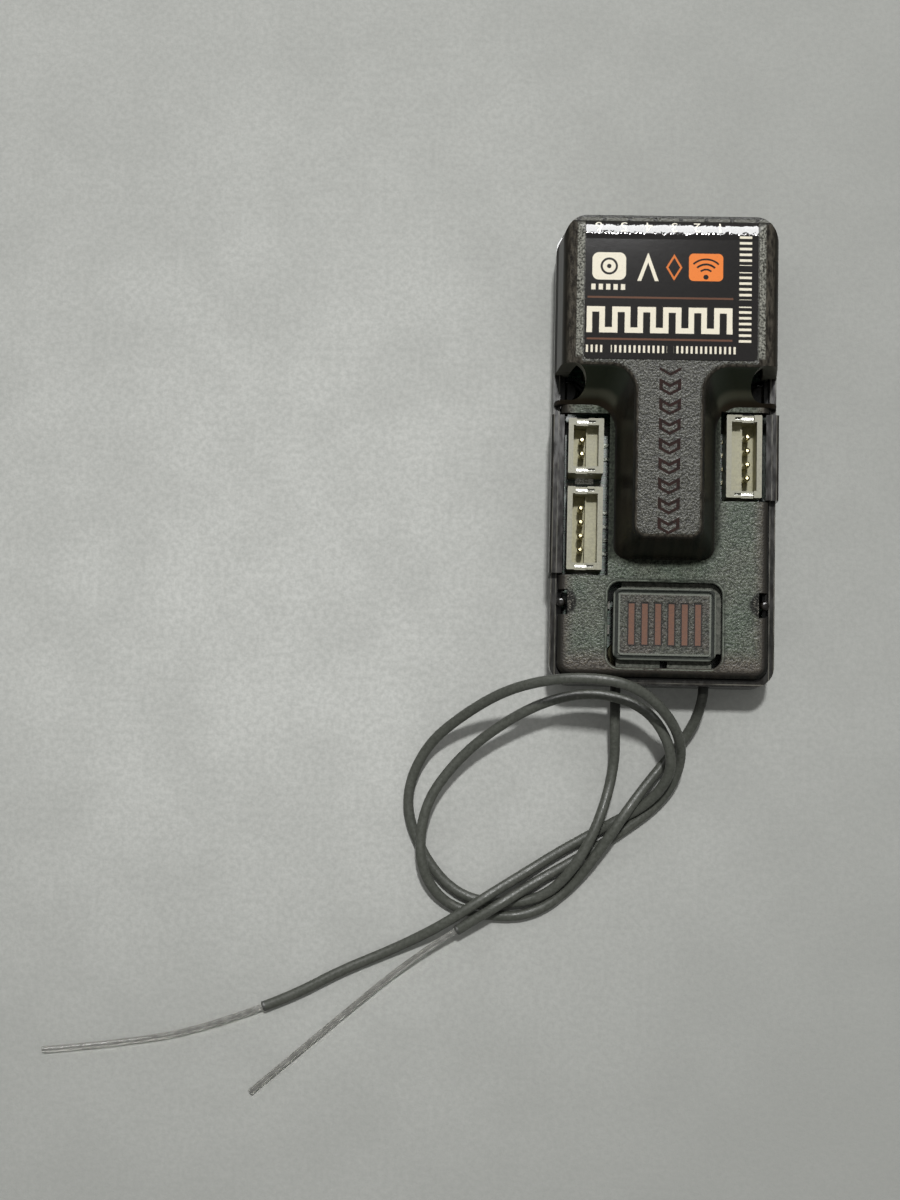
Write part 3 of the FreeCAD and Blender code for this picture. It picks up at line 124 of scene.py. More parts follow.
lead_left = tube("lead_left", LEFT_ROUTE, SHEATH)
lead_right = tube("lead_right", RIGHT_ROUTE, SHEATH)
tip_left = tube("tip_left", LEFT_TIP, BARE_END)
tip_right = tube("tip_right", RIGHT_TIP, BARE_END)
wire_left = tube("wire_left", LEFT_TIP, WIRE)
wire_right = tube("wire_right", RIGHT_TIP, WIRE)


EDGE_DIAMETER, EDGE_LENGTH, EDGE_SIDES = 1.15, 0.3, 28
# Rings of a cut edge: place along the cord, in millimetres, and share of the diameter
EDGE_RINGS = ((-EDGE_LENGTH, 0.985), (-EDGE_LENGTH * 0.85, 1.0), (-0.04, 1.0), (0.02, 0.93), (0.02, 0.62))


def cut_edge(name, route):
    """The darker cut edge of a sheath, where the bare end comes out of it."""
    end, before = Vector(in_metres(route)[-1]), Vector(in_metres(route)[-2])
    along = (end - before).normalized()
    across = along.cross(Vector((0, 0, 1))).normalized()
    rise = across.cross(along)
    mesh = bmesh.new()
    rings = []
    for step, size in EDGE_RINGS:
        ring = []
        for turn in range(EDGE_SIDES):
            angle = turn * math.tau / EDGE_SIDES
            spoke = (across * math.cos(angle) + rise * math.sin(angle)) * EDGE_DIAMETER / 2 * size * MM
            ring.append(mesh.verts.new(end + along * step * MM + spoke))
        rings.append(ring)
    for near, far in zip(rings, rings[1:]):
        for turn in range(EDGE_SIDES):
            following = (turn + 1) % EDGE_SIDES
            mesh.faces.new((near[turn], near[following], far[following], far[turn]))
    for face in mesh.faces:
        face.smooth = True
    data = bpy.data.meshes.new(name)
    mesh.to_mesh(data)
    mesh.free()
    piece = bpy.data.objects.new(name, data)
    bpy.context.scene.collection.objects.link(piece)
    return piece


edge_left = cut_edge("sheath_edge_left", LEFT_ROUTE)
edge_right = cut_edge("sheath_edge_right", RIGHT_ROUTE)
for piece, slot in ((wire_left, "tinned_metal"), (wire_right, "tinned_metal"), (edge_left, "coax_grey"),
                    (edge_right, "coax_grey")):
    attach(piece, "receiver")
for cord, node in ((lead_left, "antenna_lead_left"), (lead_right, "antenna_lead_right"),
                   (tip_left, "antenna_tip_left"), (tip_right, "antenna_tip_right")):
    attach(cord, "receiver")
    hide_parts(node)


# Port numbers, printed upside down on the label where it bends over the front edge

DIGITS = (("6", -7.75), ("5", -5.1), ("4", -2.46), ("3", 0.23), ("2", 2.65), ("1", 5.05))
DIGIT_SIZE, DIGIT_RUN, INK_LIFT = 1.7, 23.98, 0.006


def on_roll(x, run):
    """A place on the label's bent part, run millimetres from the middle of the case along the film."""
    angle, radius = (run - BEND_Y) / BEND_RADIUS, BEND_RADIUS + INK_LIFT
    return (x * MM, (BEND_Y + radius * math.sin(angle)) * MM, (BEND_Z + radius * math.cos(angle)) * MM)


def printed_digit(figure, x):
    """One digit as a thin layer of ink that follows the bend."""
    words = bpy.data.curves.new("digit_" + figure, "FONT")
    words.body = figure
    words.align_x = "CENTER"
    words.size = DIGIT_SIZE
    words.resolution_u = 4
    shape = bpy.data.objects.new("digit_shape", words)
    bpy.context.scene.collection.objects.link(shape)
    bpy.context.view_layer.update()
    data = bpy.data.meshes.new_from_object(shape.evaluated_get(bpy.context.evaluated_depsgraph_get()))
    bpy.data.objects.remove(shape)
    mesh = bmesh.new()
    mesh.from_mesh(data)
    for level in (0.25, 0.5, 0.75):
        geometry = mesh.verts[:] + mesh.edges[:] + mesh.faces[:]
        bmesh.ops.bisect_plane(mesh, geom=geometry, plane_co=(0, level, 0), plane_no=(0, 1, 0))
    for vert in mesh.verts:
        vert.co = on_roll(x - vert.co.x, DIGIT_RUN - vert.co.y)
    mesh.to_mesh(data)
    mesh.free()
    data.name = "digit_" + figure
    piece = bpy.data.objects.new("digit_" + figure, data)
    bpy.context.scene.collection.objects.link(piece)
    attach(piece, "receiver")
    return piece.name


digit_pieces = [printed_digit(figure, x) for figure, x in DIGITS]


# Floor and light

floor_mesh = bpy.data.meshes.new("floor")
floor_mesh.from_pydata([(-3, -3, 0), (3, -3, 0), (3, 3, 0), (-3, 3, 0)], [], [(0, 1, 2, 3)])
floor = bpy.data.objects.new("floor", floor_mesh)
bpy.context.scene.collection.objects.link(floor)


AIM = (0.0, 0.0, 0.005)


def area_light(name, place, size, power):
    """A square or oblong soft light at place, in metres, turned to the receiver."""
    data = bpy.data.lights.new(name, "AREA")
    data.shape = "RECTANGLE"
    data.size = size[0]
    data.size_y = size[1]
    data.energy = power
    light = bpy.data.objects.new(name, data)
    light.location = place
    light.rotation_euler = (Vector(AIM) - Vector(place)).to_track_quat("-Z", "Y").to_euler()
    bpy.context.scene.collection.objects.link(light)
    return light


area_light("ceiling_panel", (0.03, 0.36, 0.95), (0.07, 0.07), 8.6)
window = area_light("window", (0.0, 0.85, 0.75), (0.9, 0.85), 48.0)
window.visible_diffuse = False
world = bpy.data.worlds.new("room")
world.use_nodes = True
background = world.node_tree.nodes["Background"]
background.inputs["Color"].default_value = (1.0, 1.0, 0.98, 1.0)
background.inputs["Strength"].default_value = 0.36
bpy.context.scene.world = world
bpy.context.scene.view_settings.view_transform = "Standard"


# Materials. Numbers in them are millimetres in the model, shares of 1, or colours from 0 to 255.

def grey(amount):
    """A number as a colour, for sockets that a colour mix feeds."""
    return (amount, amount, amount, 1)


class Finish:
    """One material's node tree, with a short call for each kind of node. Lengths in it are millimetres."""

    def __init__(self, name, **settings):
        self.material = bpy.data.materials.new(name)
        self.material.use_nodes = True
        self.tree = self.material.node_tree
        self.surface = self.tree.nodes["Principled BSDF"]
        place = self.tree.nodes.new("ShaderNodeTexCoord")
        scaled = self.tree.nodes.new("ShaderNodeVectorMath")
        scaled.operation = "SCALE"
        self.tree.links.new(place.outputs["Object"], scaled.inputs[0])
        scaled.inputs["Scale"].default_value = 1 / MM
        self.mm = scaled.outputs[0]
        self.x, self.y, self.z = self.split(self.mm)
        _, self.along, self.up = self.split(place.outputs["Normal"])
        for key, amount in settings.items():
            self.surface.inputs[key.replace("_", " ")].default_value = amount

    def feed(self, socket, source):
        """Sets a socket to a number or colour, or links it to another node."""
        if isinstance(source, bpy.types.NodeSocket):
            self.tree.links.new(source, socket)
        else:
            socket.default_value = source

    def split(self, vector):
        node = self.tree.nodes.new("ShaderNodeSeparateXYZ")
        self.tree.links.new(vector, node.inputs[0])
        return node.outputs

    def math(self, operation, first, second=0.0):
        node = self.tree.nodes.new("ShaderNodeMath")
        node.operation = operation
        self.feed(node.inputs[0], first)
        self.feed(node.inputs[1], second)
        return node.outputs[0]

    def between(self, source, low, high, start=0.0, end=1.0):
        """Turns low to high in the source into start to end, smoothly and held at both ends."""
        node = self.tree.nodes.new("ShaderNodeMapRange")
        node.interpolation_type = "SMOOTHSTEP"
        self.feed(node.inputs["Value"], source)
        for socket, amount in zip(("From Min", "From Max", "To Min", "To Max"), (low, high, start, end)):
            node.inputs[socket].default_value = amount
        return node.outputs[0]

    def inside(self, source, low, high, soft):
        """1 between low and high, 0 outside, with soft sides."""
        rise = self.between(source, low - soft / 2, low + soft / 2)
        fall = self.between(source, high - soft / 2, high + soft / 2, 1.0, 0.0)
        return self.math("MULTIPLY", rise, fall)

    def most(self, *masks):
        """The largest of several masks."""
        whole = masks[0]
        for mask in masks[1:]:
            whole = self.math("MAXIMUM", whole, mask)
        return whole

    def both(self, *masks):
        """The masks multiplied together."""
        whole = masks[0]
        for mask in masks[1:]:
            whole = self.math("MULTIPLY", whole, mask)
        return whole

    def rest(self, mask):
        """1 where the mask is 0, and 0 where it is 1."""
        return self.math("SUBTRACT", 1.0, mask)

    def length(self, across, along):
        """The distance that two distances at right angles make."""
        return self.math("SQRT", self.math("ADD", self.both(across, across), self.both(along, along)))

    def beyond(self, source, middle, half):
        """How far the source lies outside half a width on either side of the middle."""
        away = self.math("ABSOLUTE", self.math("SUBTRACT", source, middle))
        return self.math("MAXIMUM", self.math("SUBTRACT", away, half), 0.0)

    def oblong(self, x_low, x_high, y_low, y_high, soft=0.06):
        """1 in an oblong seen from above."""
        return self.both(self.inside(self.x, x_low, x_high, soft), self.inside(self.y, y_low, y_high, soft))

    def turns(self, source, start, pitch):
        """Goes from 0 to 1 again and again along the source, once for each pitch."""
        return self.math("FRACT", self.math("MULTIPLY", self.math("SUBTRACT", source, start), 1 / pitch))

    def reach(self, x, y):
        """Distance from a place seen from above."""
        return self.length(self.math("SUBTRACT", self.x, x), self.math("SUBTRACT", self.y, y))

    def tile(self, x, y, width, depth, corner, soft=0.06):
        """1 in an oblong with round corners round a place seen from above."""
        out = self.length(self.beyond(self.x, x, width / 2 - corner),
                          self.beyond(self.y, y, depth / 2 - corner))
        return self.between(out, corner - soft / 2, corner + soft / 2, 1.0, 0.0)

    def stretched(self, x, y, z):
        """Coordinates in millimetres, multiplied along each axis."""
        node = self.tree.nodes.new("ShaderNodeVectorMath")
        node.operation = "MULTIPLY"
        self.tree.links.new(self.mm, node.inputs[0])
        node.inputs[1].default_value = (x, y, z)
        return node.outputs[0]

    def noise(self, scale, detail=2.0, roughness=0.5, vector=None):
        node = self.tree.nodes.new("ShaderNodeTexNoise")
        self.tree.links.new(vector or self.mm, node.inputs["Vector"])
        node.inputs["Scale"].default_value = scale
        node.inputs["Detail"].default_value = detail
        node.inputs["Roughness"].default_value = roughness
        return node.outputs[0]

    def mix(self, share, first, second):
        node = self.tree.nodes.new("ShaderNodeMix")
        node.data_type = "RGBA"
        self.feed(node.inputs[0], share)
        self.feed(node.inputs[6], first)
        self.feed(node.inputs[7], second)
        return node.outputs[2]

    def colour(self, source):
        self.feed(self.surface.inputs["Base Color"], source)

    def rough(self, source):
        self.feed(self.surface.inputs["Roughness"], source)

    def relief(self, height, depth, strength=1.0):
        """Bumps up to depth millimetres high."""
        node = self.tree.nodes.new("ShaderNodeBump")
        node.inputs["Distance"].default_value = depth * MM
        self.feed(node.inputs["Strength"], strength)
        self.tree.links.new(height, node.inputs["Height"])
        self.tree.links.new(node.outputs[0], self.surface.inputs["Normal"])


def case_plastic():
    """Smoky moulded plastic: spark-eroded grain on the flats, smooth slopes darkened partly with painted
    shade, green over the board, and painted light and shade in a few places.
    """
    look = Finish("smoky_plastic", IOR=1.5, Specular_IOR_Level=0.14)
    fine = look.noise(4.6, 2.0, 0.5)
    grain = look.between(fine, 0.28, 0.72)
    flat = look.between(look.up, 0.955, 0.99)
    slope = look.between(look.up, 0.72, 0.93)
    high = look.between(look.z, 10.5, 12.6)
    on_deck = look.between(look.z, 7.6, 8.0, 1.0, 0.0)
    from_x = look.math("ABSOLUTE", look.x)
    # Grain of the deck: green over the board, brown towards the rim
    rim = look.most(look.between(from_x, 9.2, 10.9), look.between(look.y, -22.8, -20.4, 1.0, 0.0))
    patch = look.between(look.noise(0.22, 2.0, 0.5), 0.35, 0.65)
    deck_dark = look.mix(rim, look.mix(patch, linear(38, 42, 32), linear(32, 41, 30)), linear(38, 34, 27))
    deck_light = look.mix(rim, look.mix(patch, linear(90, 95, 83), linear(84, 93, 80)), linear(87, 81, 71))
    deck = look.mix(grain, deck_dark, deck_light)
    # Painted shade along the edge of the pad's window, with a painted highlight as its pale line, and the
    # darker rim
    outside = look.tile(PAD_X, WINDOW_Y, 12.9, 9.9, 1.65, 0.4)
    window_highlight = look.math("SUBTRACT", look.tile(PAD_X, WINDOW_Y, 12.62, 9.62, 1.5),
                     look.tile(PAD_X, WINDOW_Y, 12.4, 9.4, 1.4))
    broken = look.between(look.noise(0.9, 2.0, 0.5), 0.35, 0.6)
    low_rim = look.both(look.most(look.between(from_x, 10.0, 10.9),
                                  look.between(look.y, -23.7, -22.4, 1.0, 0.0)), 0.6)
    window_shade_and_rim = look.both(look.most(look.both(outside, 0.7), low_rim), on_deck)
    deck = look.mix(window_shade_and_rim, deck, look.mix(rim, linear(20, 24, 18), linear(30, 26, 19)))
    deck = look.mix(look.both(window_highlight, broken, 0.7), deck, linear(116, 122, 110))
    # Painted shade: dark rounds with paler rays over the two snap tabs, standing for the shade down in their
    # recesses
    tab_x, tab_y = look.math("SUBTRACT", from_x, TAB_X), look.math("SUBTRACT", look.y, TAB_Y)
    tab = look.length(tab_x, tab_y)
    tab_shade_share = look.both(look.between(tab, 1.15, 1.6, 1.0, 0.0), look.between(look.z, 8.0, 9.0, 1.0, 0.0))
    ray = look.math("SINE", look.math("MULTIPLY", look.math("ARCTAN2", tab_y, tab_x), 26.0))
    ray = look.both(look.between(ray, -0.6, 0.6), look.between(fine, 0.4, 0.6))
    recess_shade_disc = look.mix(look.both(ray, look.between(tab, 0.85, 1.25, 1.0, 0.0)),
                    linear(10, 10, 8), linear(104, 101, 92))
    deck = look.mix(look.both(tab_shade_share, 0.92), deck, recess_shade_disc)
    # Painted shade: a soft dark band round the foot of the rib for the rest of its fillet, and a painted dark
    # strip beside the left-hand header
    foot_shade = look.both(look.tile(0.0, 4.1, 11.9, 32.2, 2.9, 0.9), on_deck)
    deck = look.mix(foot_shade, deck, look.mix(grain, linear(16, 19, 13), linear(44, 48, 39)))
    header_side_shade = look.both(look.inside(look.x, -7.3, -5.0, 0.3), look.between(look.y, -11.8, -11.2), on_deck)
    deck = look.mix(look.both(header_side_shade, 0.65), deck, look.mix(grain, linear(14, 18, 12), linear(42, 47, 38)))
    roof = look.mix(grain, linear(27, 27, 22), linear(78, 78, 70))
    shoulder = look.mix(look.between(look.noise(3.4, 3.0, 0.6, look.stretched(1, 0.3, 1)), 0.3, 0.7),
                        linear(24, 21, 17), linear(70, 66, 58))
    # A speckled strip beside the label
    beside = look.both(look.inside(from_x, 9.2, 9.95, 0.16), look.between(look.y, 9.2, 9.6))
    shoulder = look.mix(look.both(beside, 0.9), shoulder,
                        look.mix(grain, linear(34, 34, 29), linear(158, 158, 148)))
    # The slopes: smooth and dark, partly from their polished finish and partly painted shade, with paler
    # streaks
    streak = look.between(look.noise(1.3, 3.0, 0.6, look.stretched(1.4, 0.12, 0.12)), 0.35, 0.65)
    slope_tone_and_shade = look.mix(look.between(look.noise(0.35, 2.0, 0.5), 0.4, 0.6), linear(10, 12, 8),
                          linear(17, 14, 10))
    slope_tone_and_shade = look.mix(look.both(streak, 0.35), slope_tone_and_shade, linear(46, 42, 33))
    # The rear of the block: green-black above, a painted soft reflection as a paler band low down, brown at
    # the foot
    rear = look.both(look.inside(look.up, 0.3, 0.72, 0.1), look.between(look.along, -0.4, -0.6),
                     look.between(look.y, 2.0, 3.0))
    low_reflection_band = look.inside(look.math("ADD", look.z, look.both(patch, 0.4)), 8.5, 9.7, 1.0)
    behind = look.mix(look.between(look.z, 7.8, 9.0), linear(40, 33, 24), linear(31, 36, 27))
    slope_tone_and_shade = look.mix(rear, slope_tone_and_shade, look.mix(look.both(low_reflection_band, 0.8), behind, linear(74, 74, 63)))
    # Painted light: the walls of the two round recesses, paler on their rear side where light comes through
    # the plastic
    bore_light = look.both(look.between(look.up, 0.05, 0.1, 1.0, 0.0), look.inside(look.y, 5.5, 11.5, 0.2),
                     look.between(from_x, 8.0, 8.2))
    slope_tone_and_shade = look.mix(look.both(bore_light, look.between(look.y, 7.4, 9.6, 1.0, 0.0)), slope_tone_and_shade,
                          linear(116, 116, 105))
    # A row of thin outlined chevrons down the rib
    bent = look.math("SUBTRACT", look.y, look.math("MULTIPLY", from_x, 0.55))
    turn = look.turns(bent, -9.6, 2.1)
    whole = look.both(look.inside(turn, 0.08, 0.67, 0.03), look.inside(look.x, -1.15, 1.15, 0.06))
    heart = look.both(look.inside(turn, 0.25, 0.49, 0.03), look.inside(look.x, -0.78, 0.78, 0.06))
    motif = look.both(whole, look.rest(heart), look.inside(bent, -9.6, 7.7, 0.1))
    roof = look.mix(motif, roof, look.mix(grain, linear(22, 10, 6), linear(40, 20, 14)))
    leaning = look.mix(slope, slope_tone_and_shade, look.mix(high, linear(36, 33, 28), shoulder))
    body = look.mix(flat, leaning, look.mix(high, deck, roof))
    # Painted light and shade on the lip over the ports: paler where light shows through the thin plastic,
    # dark over the walls between the ports and along the front edge
    lip_light = look.both(look.between(look.y, 24.1, 24.2), look.between(look.z, 12.2, 12.35))
    from_wall = look.math("ABSOLUTE", look.math("SUBTRACT", look.turns(look.x, -13.9, 2.7), 0.5))
    wall_shade = look.most(look.between(from_wall, 0.06, 0.1, 1.0, 0.0), look.between(look.y, 24.42, 24.52))
    body = look.mix(lip_light, body, look.mix(wall_shade, linear(84, 84, 76), linear(26, 26, 21)))
    look.colour(body)
    # The dark places are dull too
    dull = look.most(look.both(tab_shade_share, look.rest(look.both(ray, 0.6))), foot_shade, header_side_shade, window_shade_and_rim,
                     look.both(motif, high))
    gloss = look.mix(flat, grey(0.34), look.mix(grain, grey(0.42), grey(0.26)))
    look.rough(look.mix(dull, gloss, grey(0.9)))
    smooth = look.rest(look.both(motif, high, 0.75))
    look.relief(fine, 0.11, look.both(look.between(look.up, 0.8, 0.99, 0.06, 1.0), smooth))
    return look.material


def tray_plastic():
    """The same smoky plastic on the tray: smooth and glossy, with painted highlights along its rim."""
    look = Finish("tray_plastic", IOR=1.5, Specular_IOR_Level=0.3)
    fine = look.noise(2.2, 3.0, 0.55, look.stretched(1.0, 0.3, 1.0))
    broad = look.between(look.noise(0.3, 2.0, 0.5), 0.35, 0.65)
    tone = look.mix(look.between(fine, 0.3, 0.7), look.mix(broad, linear(14, 14, 11), linear(19, 16, 13)),
                    look.mix(broad, linear(22, 22, 18), linear(27, 24, 20)))
    from_x = look.math("ABSOLUTE", look.x)
    # Painted highlights: pale lines along the rim's edges, broken up by noise
    rim_highlights = look.most(look.inside(from_x, 11.93, 12.03, 0.06), look.inside(from_x, 11.42, 11.52, 0.06),
                      look.inside(look.y, -24.62, -24.5, 0.06))
    broken = look.between(look.noise(1.1, 2.0, 0.5, look.stretched(0.2, 0.25, 1.0)), 0.35, 0.6)
    tone = look.mix(look.both(rim_highlights, broken, 0.55), tone, linear(112, 110, 100))
    look.colour(tone)
    look.rough(look.between(fine, 0.3, 0.7, 0.16, 0.24))
    look.relief(fine, 0.004)
    return look.material


def label_film():
    """Charcoal film with a clear gloss face and a plain print, a little cockled where it bends."""
    look = Finish("label_film", IOR=1.5, Specular_IOR_Level=0.0, Coat_Weight=1.0, Coat_Roughness=0.05,
                  Coat_IOR=1.5)
    speck = look.noise(9.0, 2.0, 0.5)
    film = look.mix(look.between(speck, 0.35, 0.65), linear(20, 18, 18), linear(30, 28, 27))
    flat = look.between(look.y, 22.4, BEND_Y, 1.0, 0.0)
    # Pulse train in the large band
    step = look.turns(look.x, -8.9, 2.68)
    high = look.inside(look.y, 14.12, 14.7, 0.06)
    low = look.inside(look.y, 11.9, 12.48, 0.06)
    rise = look.most(look.inside(step, 0.0, 0.22, 0.02), look.inside(step, 0.5, 0.72, 0.02))
    low_part = look.most(look.inside(step, 0.5, 1.01, 0.02), look.inside(step, -0.1, 0.22, 0.02))
    pulses = look.most(look.both(high, look.inside(step, 0.0, 0.72, 0.02)), look.both(low, low_part),
                       look.both(rise, look.inside(look.y, 11.9, 14.7, 0.06)))
    pulses = look.both(pulses, look.inside(look.x, -8.9, 6.45, 0.06))
    # Small dashes under it, under the first tile and down the right-hand side
    words = look.most(look.inside(look.x, -8.95, -7.0, 0.02), look.inside(look.x, -6.3, -0.4, 0.02),
                      look.inside(look.x, 0.3, 6.85, 0.02))
    dashes = look.both(look.inside(look.y, 9.78, 10.56, 0.06),
                       look.inside(look.turns(look.x, -8.95, 0.5), 0.06, 0.5, 0.12), words)
    mark = look.both(look.inside(look.y, 16.5, 17.12, 0.06),
                     look.inside(look.turns(look.x, -8.5, 0.78), 0.05, 0.62, 0.08),
                     look.inside(look.x, -8.52, -4.66, 0.02))
    words = look.most(look.inside(look.y, 11.0, 14.9, 0.02), look.inside(look.y, 15.6, 18.6, 0.02),
                      look.inside(look.y, 19.3, 22.5, 0.02))
    column = look.both(look.inside(look.x, 7.12, 8.42, 0.08),
                       look.inside(look.turns(look.y, 11.0, 0.62), 0.08, 0.5, 0.12), words)
    # Ring in a pale tile, arrow head, diamond, and arcs over a dot in an orange tile
    ring = look.reach(-6.6, 19.05)
    ring = look.most(look.inside(ring, 0.68, 0.92, 0.08), look.between(ring, 0.2, 0.28, 1.0, 0.0))
    pale_tile = look.both(look.tile(-6.6, 19.05, 3.55, 2.95, 0.7), look.rest(ring))
    arrow = look.math("ADD", look.math("ABSOLUTE", look.math("ADD", look.x, 2.5)),
                      look.math("MULTIPLY", look.math("SUBTRACT", look.y, 17.5), 0.36))
    arrow = look.both(look.inside(arrow, 0.72, 1.12, 0.06), look.inside(look.y, 17.5, 20.5, 0.06))
    diamond_y = look.math("ABSOLUTE", look.math("SUBTRACT", look.y, 19.0))
    diamond = look.math("ADD", look.math("ABSOLUTE", look.math("SUBTRACT", look.x, 0.25)),
                        look.math("MULTIPLY", diamond_y, 0.6))
    diamond = look.inside(diamond, 0.62, 0.86, 0.06)
    arcs = look.reach(3.6, 18.0)
    wedge = look.between(look.math("SUBTRACT", look.math("SUBTRACT", look.y, 18.0), look.math(
        "ABSOLUTE", look.math("SUBTRACT", look.x, 3.6))), 0.0, 0.08)
    three = look.most(look.inside(arcs, 0.72, 0.92, 0.06), look.inside(arcs, 1.26, 1.48, 0.06),
                      look.inside(arcs, 1.82, 2.02, 0.06))
    arcs = look.most(look.between(arcs, 0.24, 0.3, 1.0, 0.0), look.both(wedge, three))
    orange_tile = look.both(look.tile(3.6, 19.05, 3.6, 2.95, 0.5), look.rest(arcs))
    rules = look.most(look.oblong(-8.84, 6.5, 15.6, 15.8), look.oblong(-8.85, 6.45, 11.13, 11.33))
    cream = look.both(look.most(pulses, dashes, mark, column, pale_tile, arrow), flat)
    worn = look.between(look.noise(7.0, 2.0, 0.6), 0.2, 0.45, 0.82, 1.0)
    orange = look.most(orange_tile, look.both(diamond, 0.8))
    film = look.mix(look.both(rules, 0.9), film, linear(104, 72, 56))
    film = look.mix(look.both(orange, worn), film, linear(226, 126, 58))
    film = look.mix(look.both(cream, worn), film, linear(226, 219, 200))
    look.colour(film)
    look.rough(look.between(speck, 0.3, 0.7, 0.5, 0.6))
    # Cockles, in the clear coat alone and mostly where the film bends
    bend = look.between(look.y, 22.0, BEND_Y)
    cockle = look.noise(1.2, 2.0, 0.6, look.stretched(1, 0.8, 0.8))
    node = look.tree.nodes.new("ShaderNodeBump")
    node.inputs["Distance"].default_value = 0.2 * MM
    rough_bend = look.math("ADD", look.math("MULTIPLY", bend, 0.4), 0.01)
    look.tree.links.new(look.math("MULTIPLY", cockle, rough_bend), node.inputs["Height"])
    look.tree.links.new(node.outputs[0], look.surface.inputs["Coat Normal"])
    look.relief(speck, 0.004)
    return look.material


def coax_sheath():
    """Grey jacket of the thin coax, with the dull streaks that drawing leaves and a few rubbed spots."""
    look = Finish("coax_grey", IOR=1.48, Specular_IOR_Level=0.16)
    streak = look.noise(2.6, 3.0, 0.6)
    rub = look.between(look.noise(0.5, 2.0, 0.5), 0.55, 0.75)
    jacket = look.mix(look.between(streak, 0.3, 0.7), linear(66, 68, 62),
                      look.mix(rub, linear(77, 79, 73), linear(86, 87, 81)))
    # Painted shadow where the jacket leaves the case, but not on the loops that rise there
    shade = look.both(look.between(look.y, -28.8, -26.6), look.between(look.z, 4.0, 4.6, 1.0, 0.0), 0.85)
    look.colour(look.mix(shade, jacket, linear(20, 20, 17)))
    look.rough(look.between(look.noise(3.2, 2.0, 0.6), 0.4, 0.6, 0.26, 0.5))
    look.relief(streak, 0.012)
    return look.material


def clear_core():
    """Cloudy clear insulation of the bare ends."""
    look = Finish("bare_tip", IOR=1.36, Transmission_Weight=0.72)
    cloud = look.noise(1.2, 3.0, 0.6)
    look.colour(look.mix(look.between(cloud, 0.3, 0.7), linear(176, 176, 170), linear(214, 214, 208)))
    look.rough(look.between(cloud, 0.3, 0.7, 0.08, 0.18))
    look.relief(cloud, 0.0015)
    return look.material


def metal(name, dark, light, low, high):
    """Plated metal with fine dull patches."""
    look = Finish(name, Metallic=1.0)
    patch = look.noise(6.0, 3.0, 0.6)
    look.colour(look.mix(look.between(patch, 0.3, 0.7), linear(*dark), linear(*light)))
    look.rough(look.between(patch, 0.3, 0.7, low, high))
    look.relief(patch, 0.012)
    return look.material


def moulded(name, dark, light, low, high, scale=5.0):
    """Plain moulded or painted matter with a fine grain of two tones."""
    look = Finish(name)
    patch = look.noise(scale, 3.0, 0.6)
    look.colour(look.mix(look.between(patch, 0.3, 0.7), linear(*dark), linear(*light)))
    look.rough(look.between(patch, 0.3, 0.7, low, high))
    look.relief(patch, 0.01)
    return look.material


def contacts():
    """Pale gold contacts whose tails, beside the housings, are tinned."""
    look = Finish("contact_gold", Metallic=1.0)
    patch = look.noise(6.0, 3.0, 0.6)
    share = look.between(patch, 0.3, 0.7)
    gold = look.mix(share, linear(158, 148, 112), linear(196, 188, 152))
    tin = look.mix(share, linear(46, 48, 44), linear(92, 94, 88))
    tail = look.both(look.between(look.math("ABSOLUTE", look.x), 6.5, 6.6, 1.0, 0.0),
                     look.inside(look.y, -11.5, 4.0, 0.2))
    look.colour(look.mix(tail, gold, tin))
    look.rough(look.between(patch, 0.3, 0.7, 0.2, 0.36))
    look.relief(patch, 0.01)
    return look.material


def header_ivory():
    """Ivory nylon of the side headers, with painted light that makes it warmer and lighter down in the wells.
    """
    look = Finish("header_ivory", IOR=1.5, Specular_IOR_Level=0.35)
    patch = look.noise(3.5, 3.0, 0.6)
    share = look.between(patch, 0.3, 0.7)
    face = look.mix(share, linear(112, 110, 90), linear(131, 129, 108))
    well_light = look.mix(share, linear(124, 120, 86), linear(148, 144, 110))
    look.colour(look.mix(look.between(look.z, 4.2, 6.9), well_light, face))
    look.rough(look.between(patch, 0.3, 0.7, 0.34, 0.5))
    look.relief(patch, 0.01)
    return look.material


def board_green():
    """Green solder mask over fine copper tracks."""
    look = Finish("board_green", IOR=1.5, Coat_Weight=0.5, Coat_Roughness=0.2)
    bricks = look.tree.nodes.new("ShaderNodeTexBrick")
    look.tree.links.new(look.stretched(1, 1, 0), bricks.inputs["Vector"])
    bricks.inputs["Scale"].default_value = 1.0
    bricks.inputs["Brick Width"].default_value = 2.3
    bricks.inputs["Row Height"].default_value = 0.62
    bricks.inputs["Mortar Size"].default_value = 0.11
    bricks.inputs["Mortar Smooth"].default_value = 0.2
    track = bricks.outputs["Fac"]
    patch = look.noise(1.6, 3.0, 0.6)
    ground = look.mix(look.between(patch, 0.3, 0.7), linear(12, 32, 20), linear(18, 44, 29))
    look.colour(look.mix(track, ground, linear(34, 66, 46)))
    look.rough(look.between(patch, 0.3, 0.7, 0.22, 0.36))
    look.relief(track, 0.02)
    return look.material


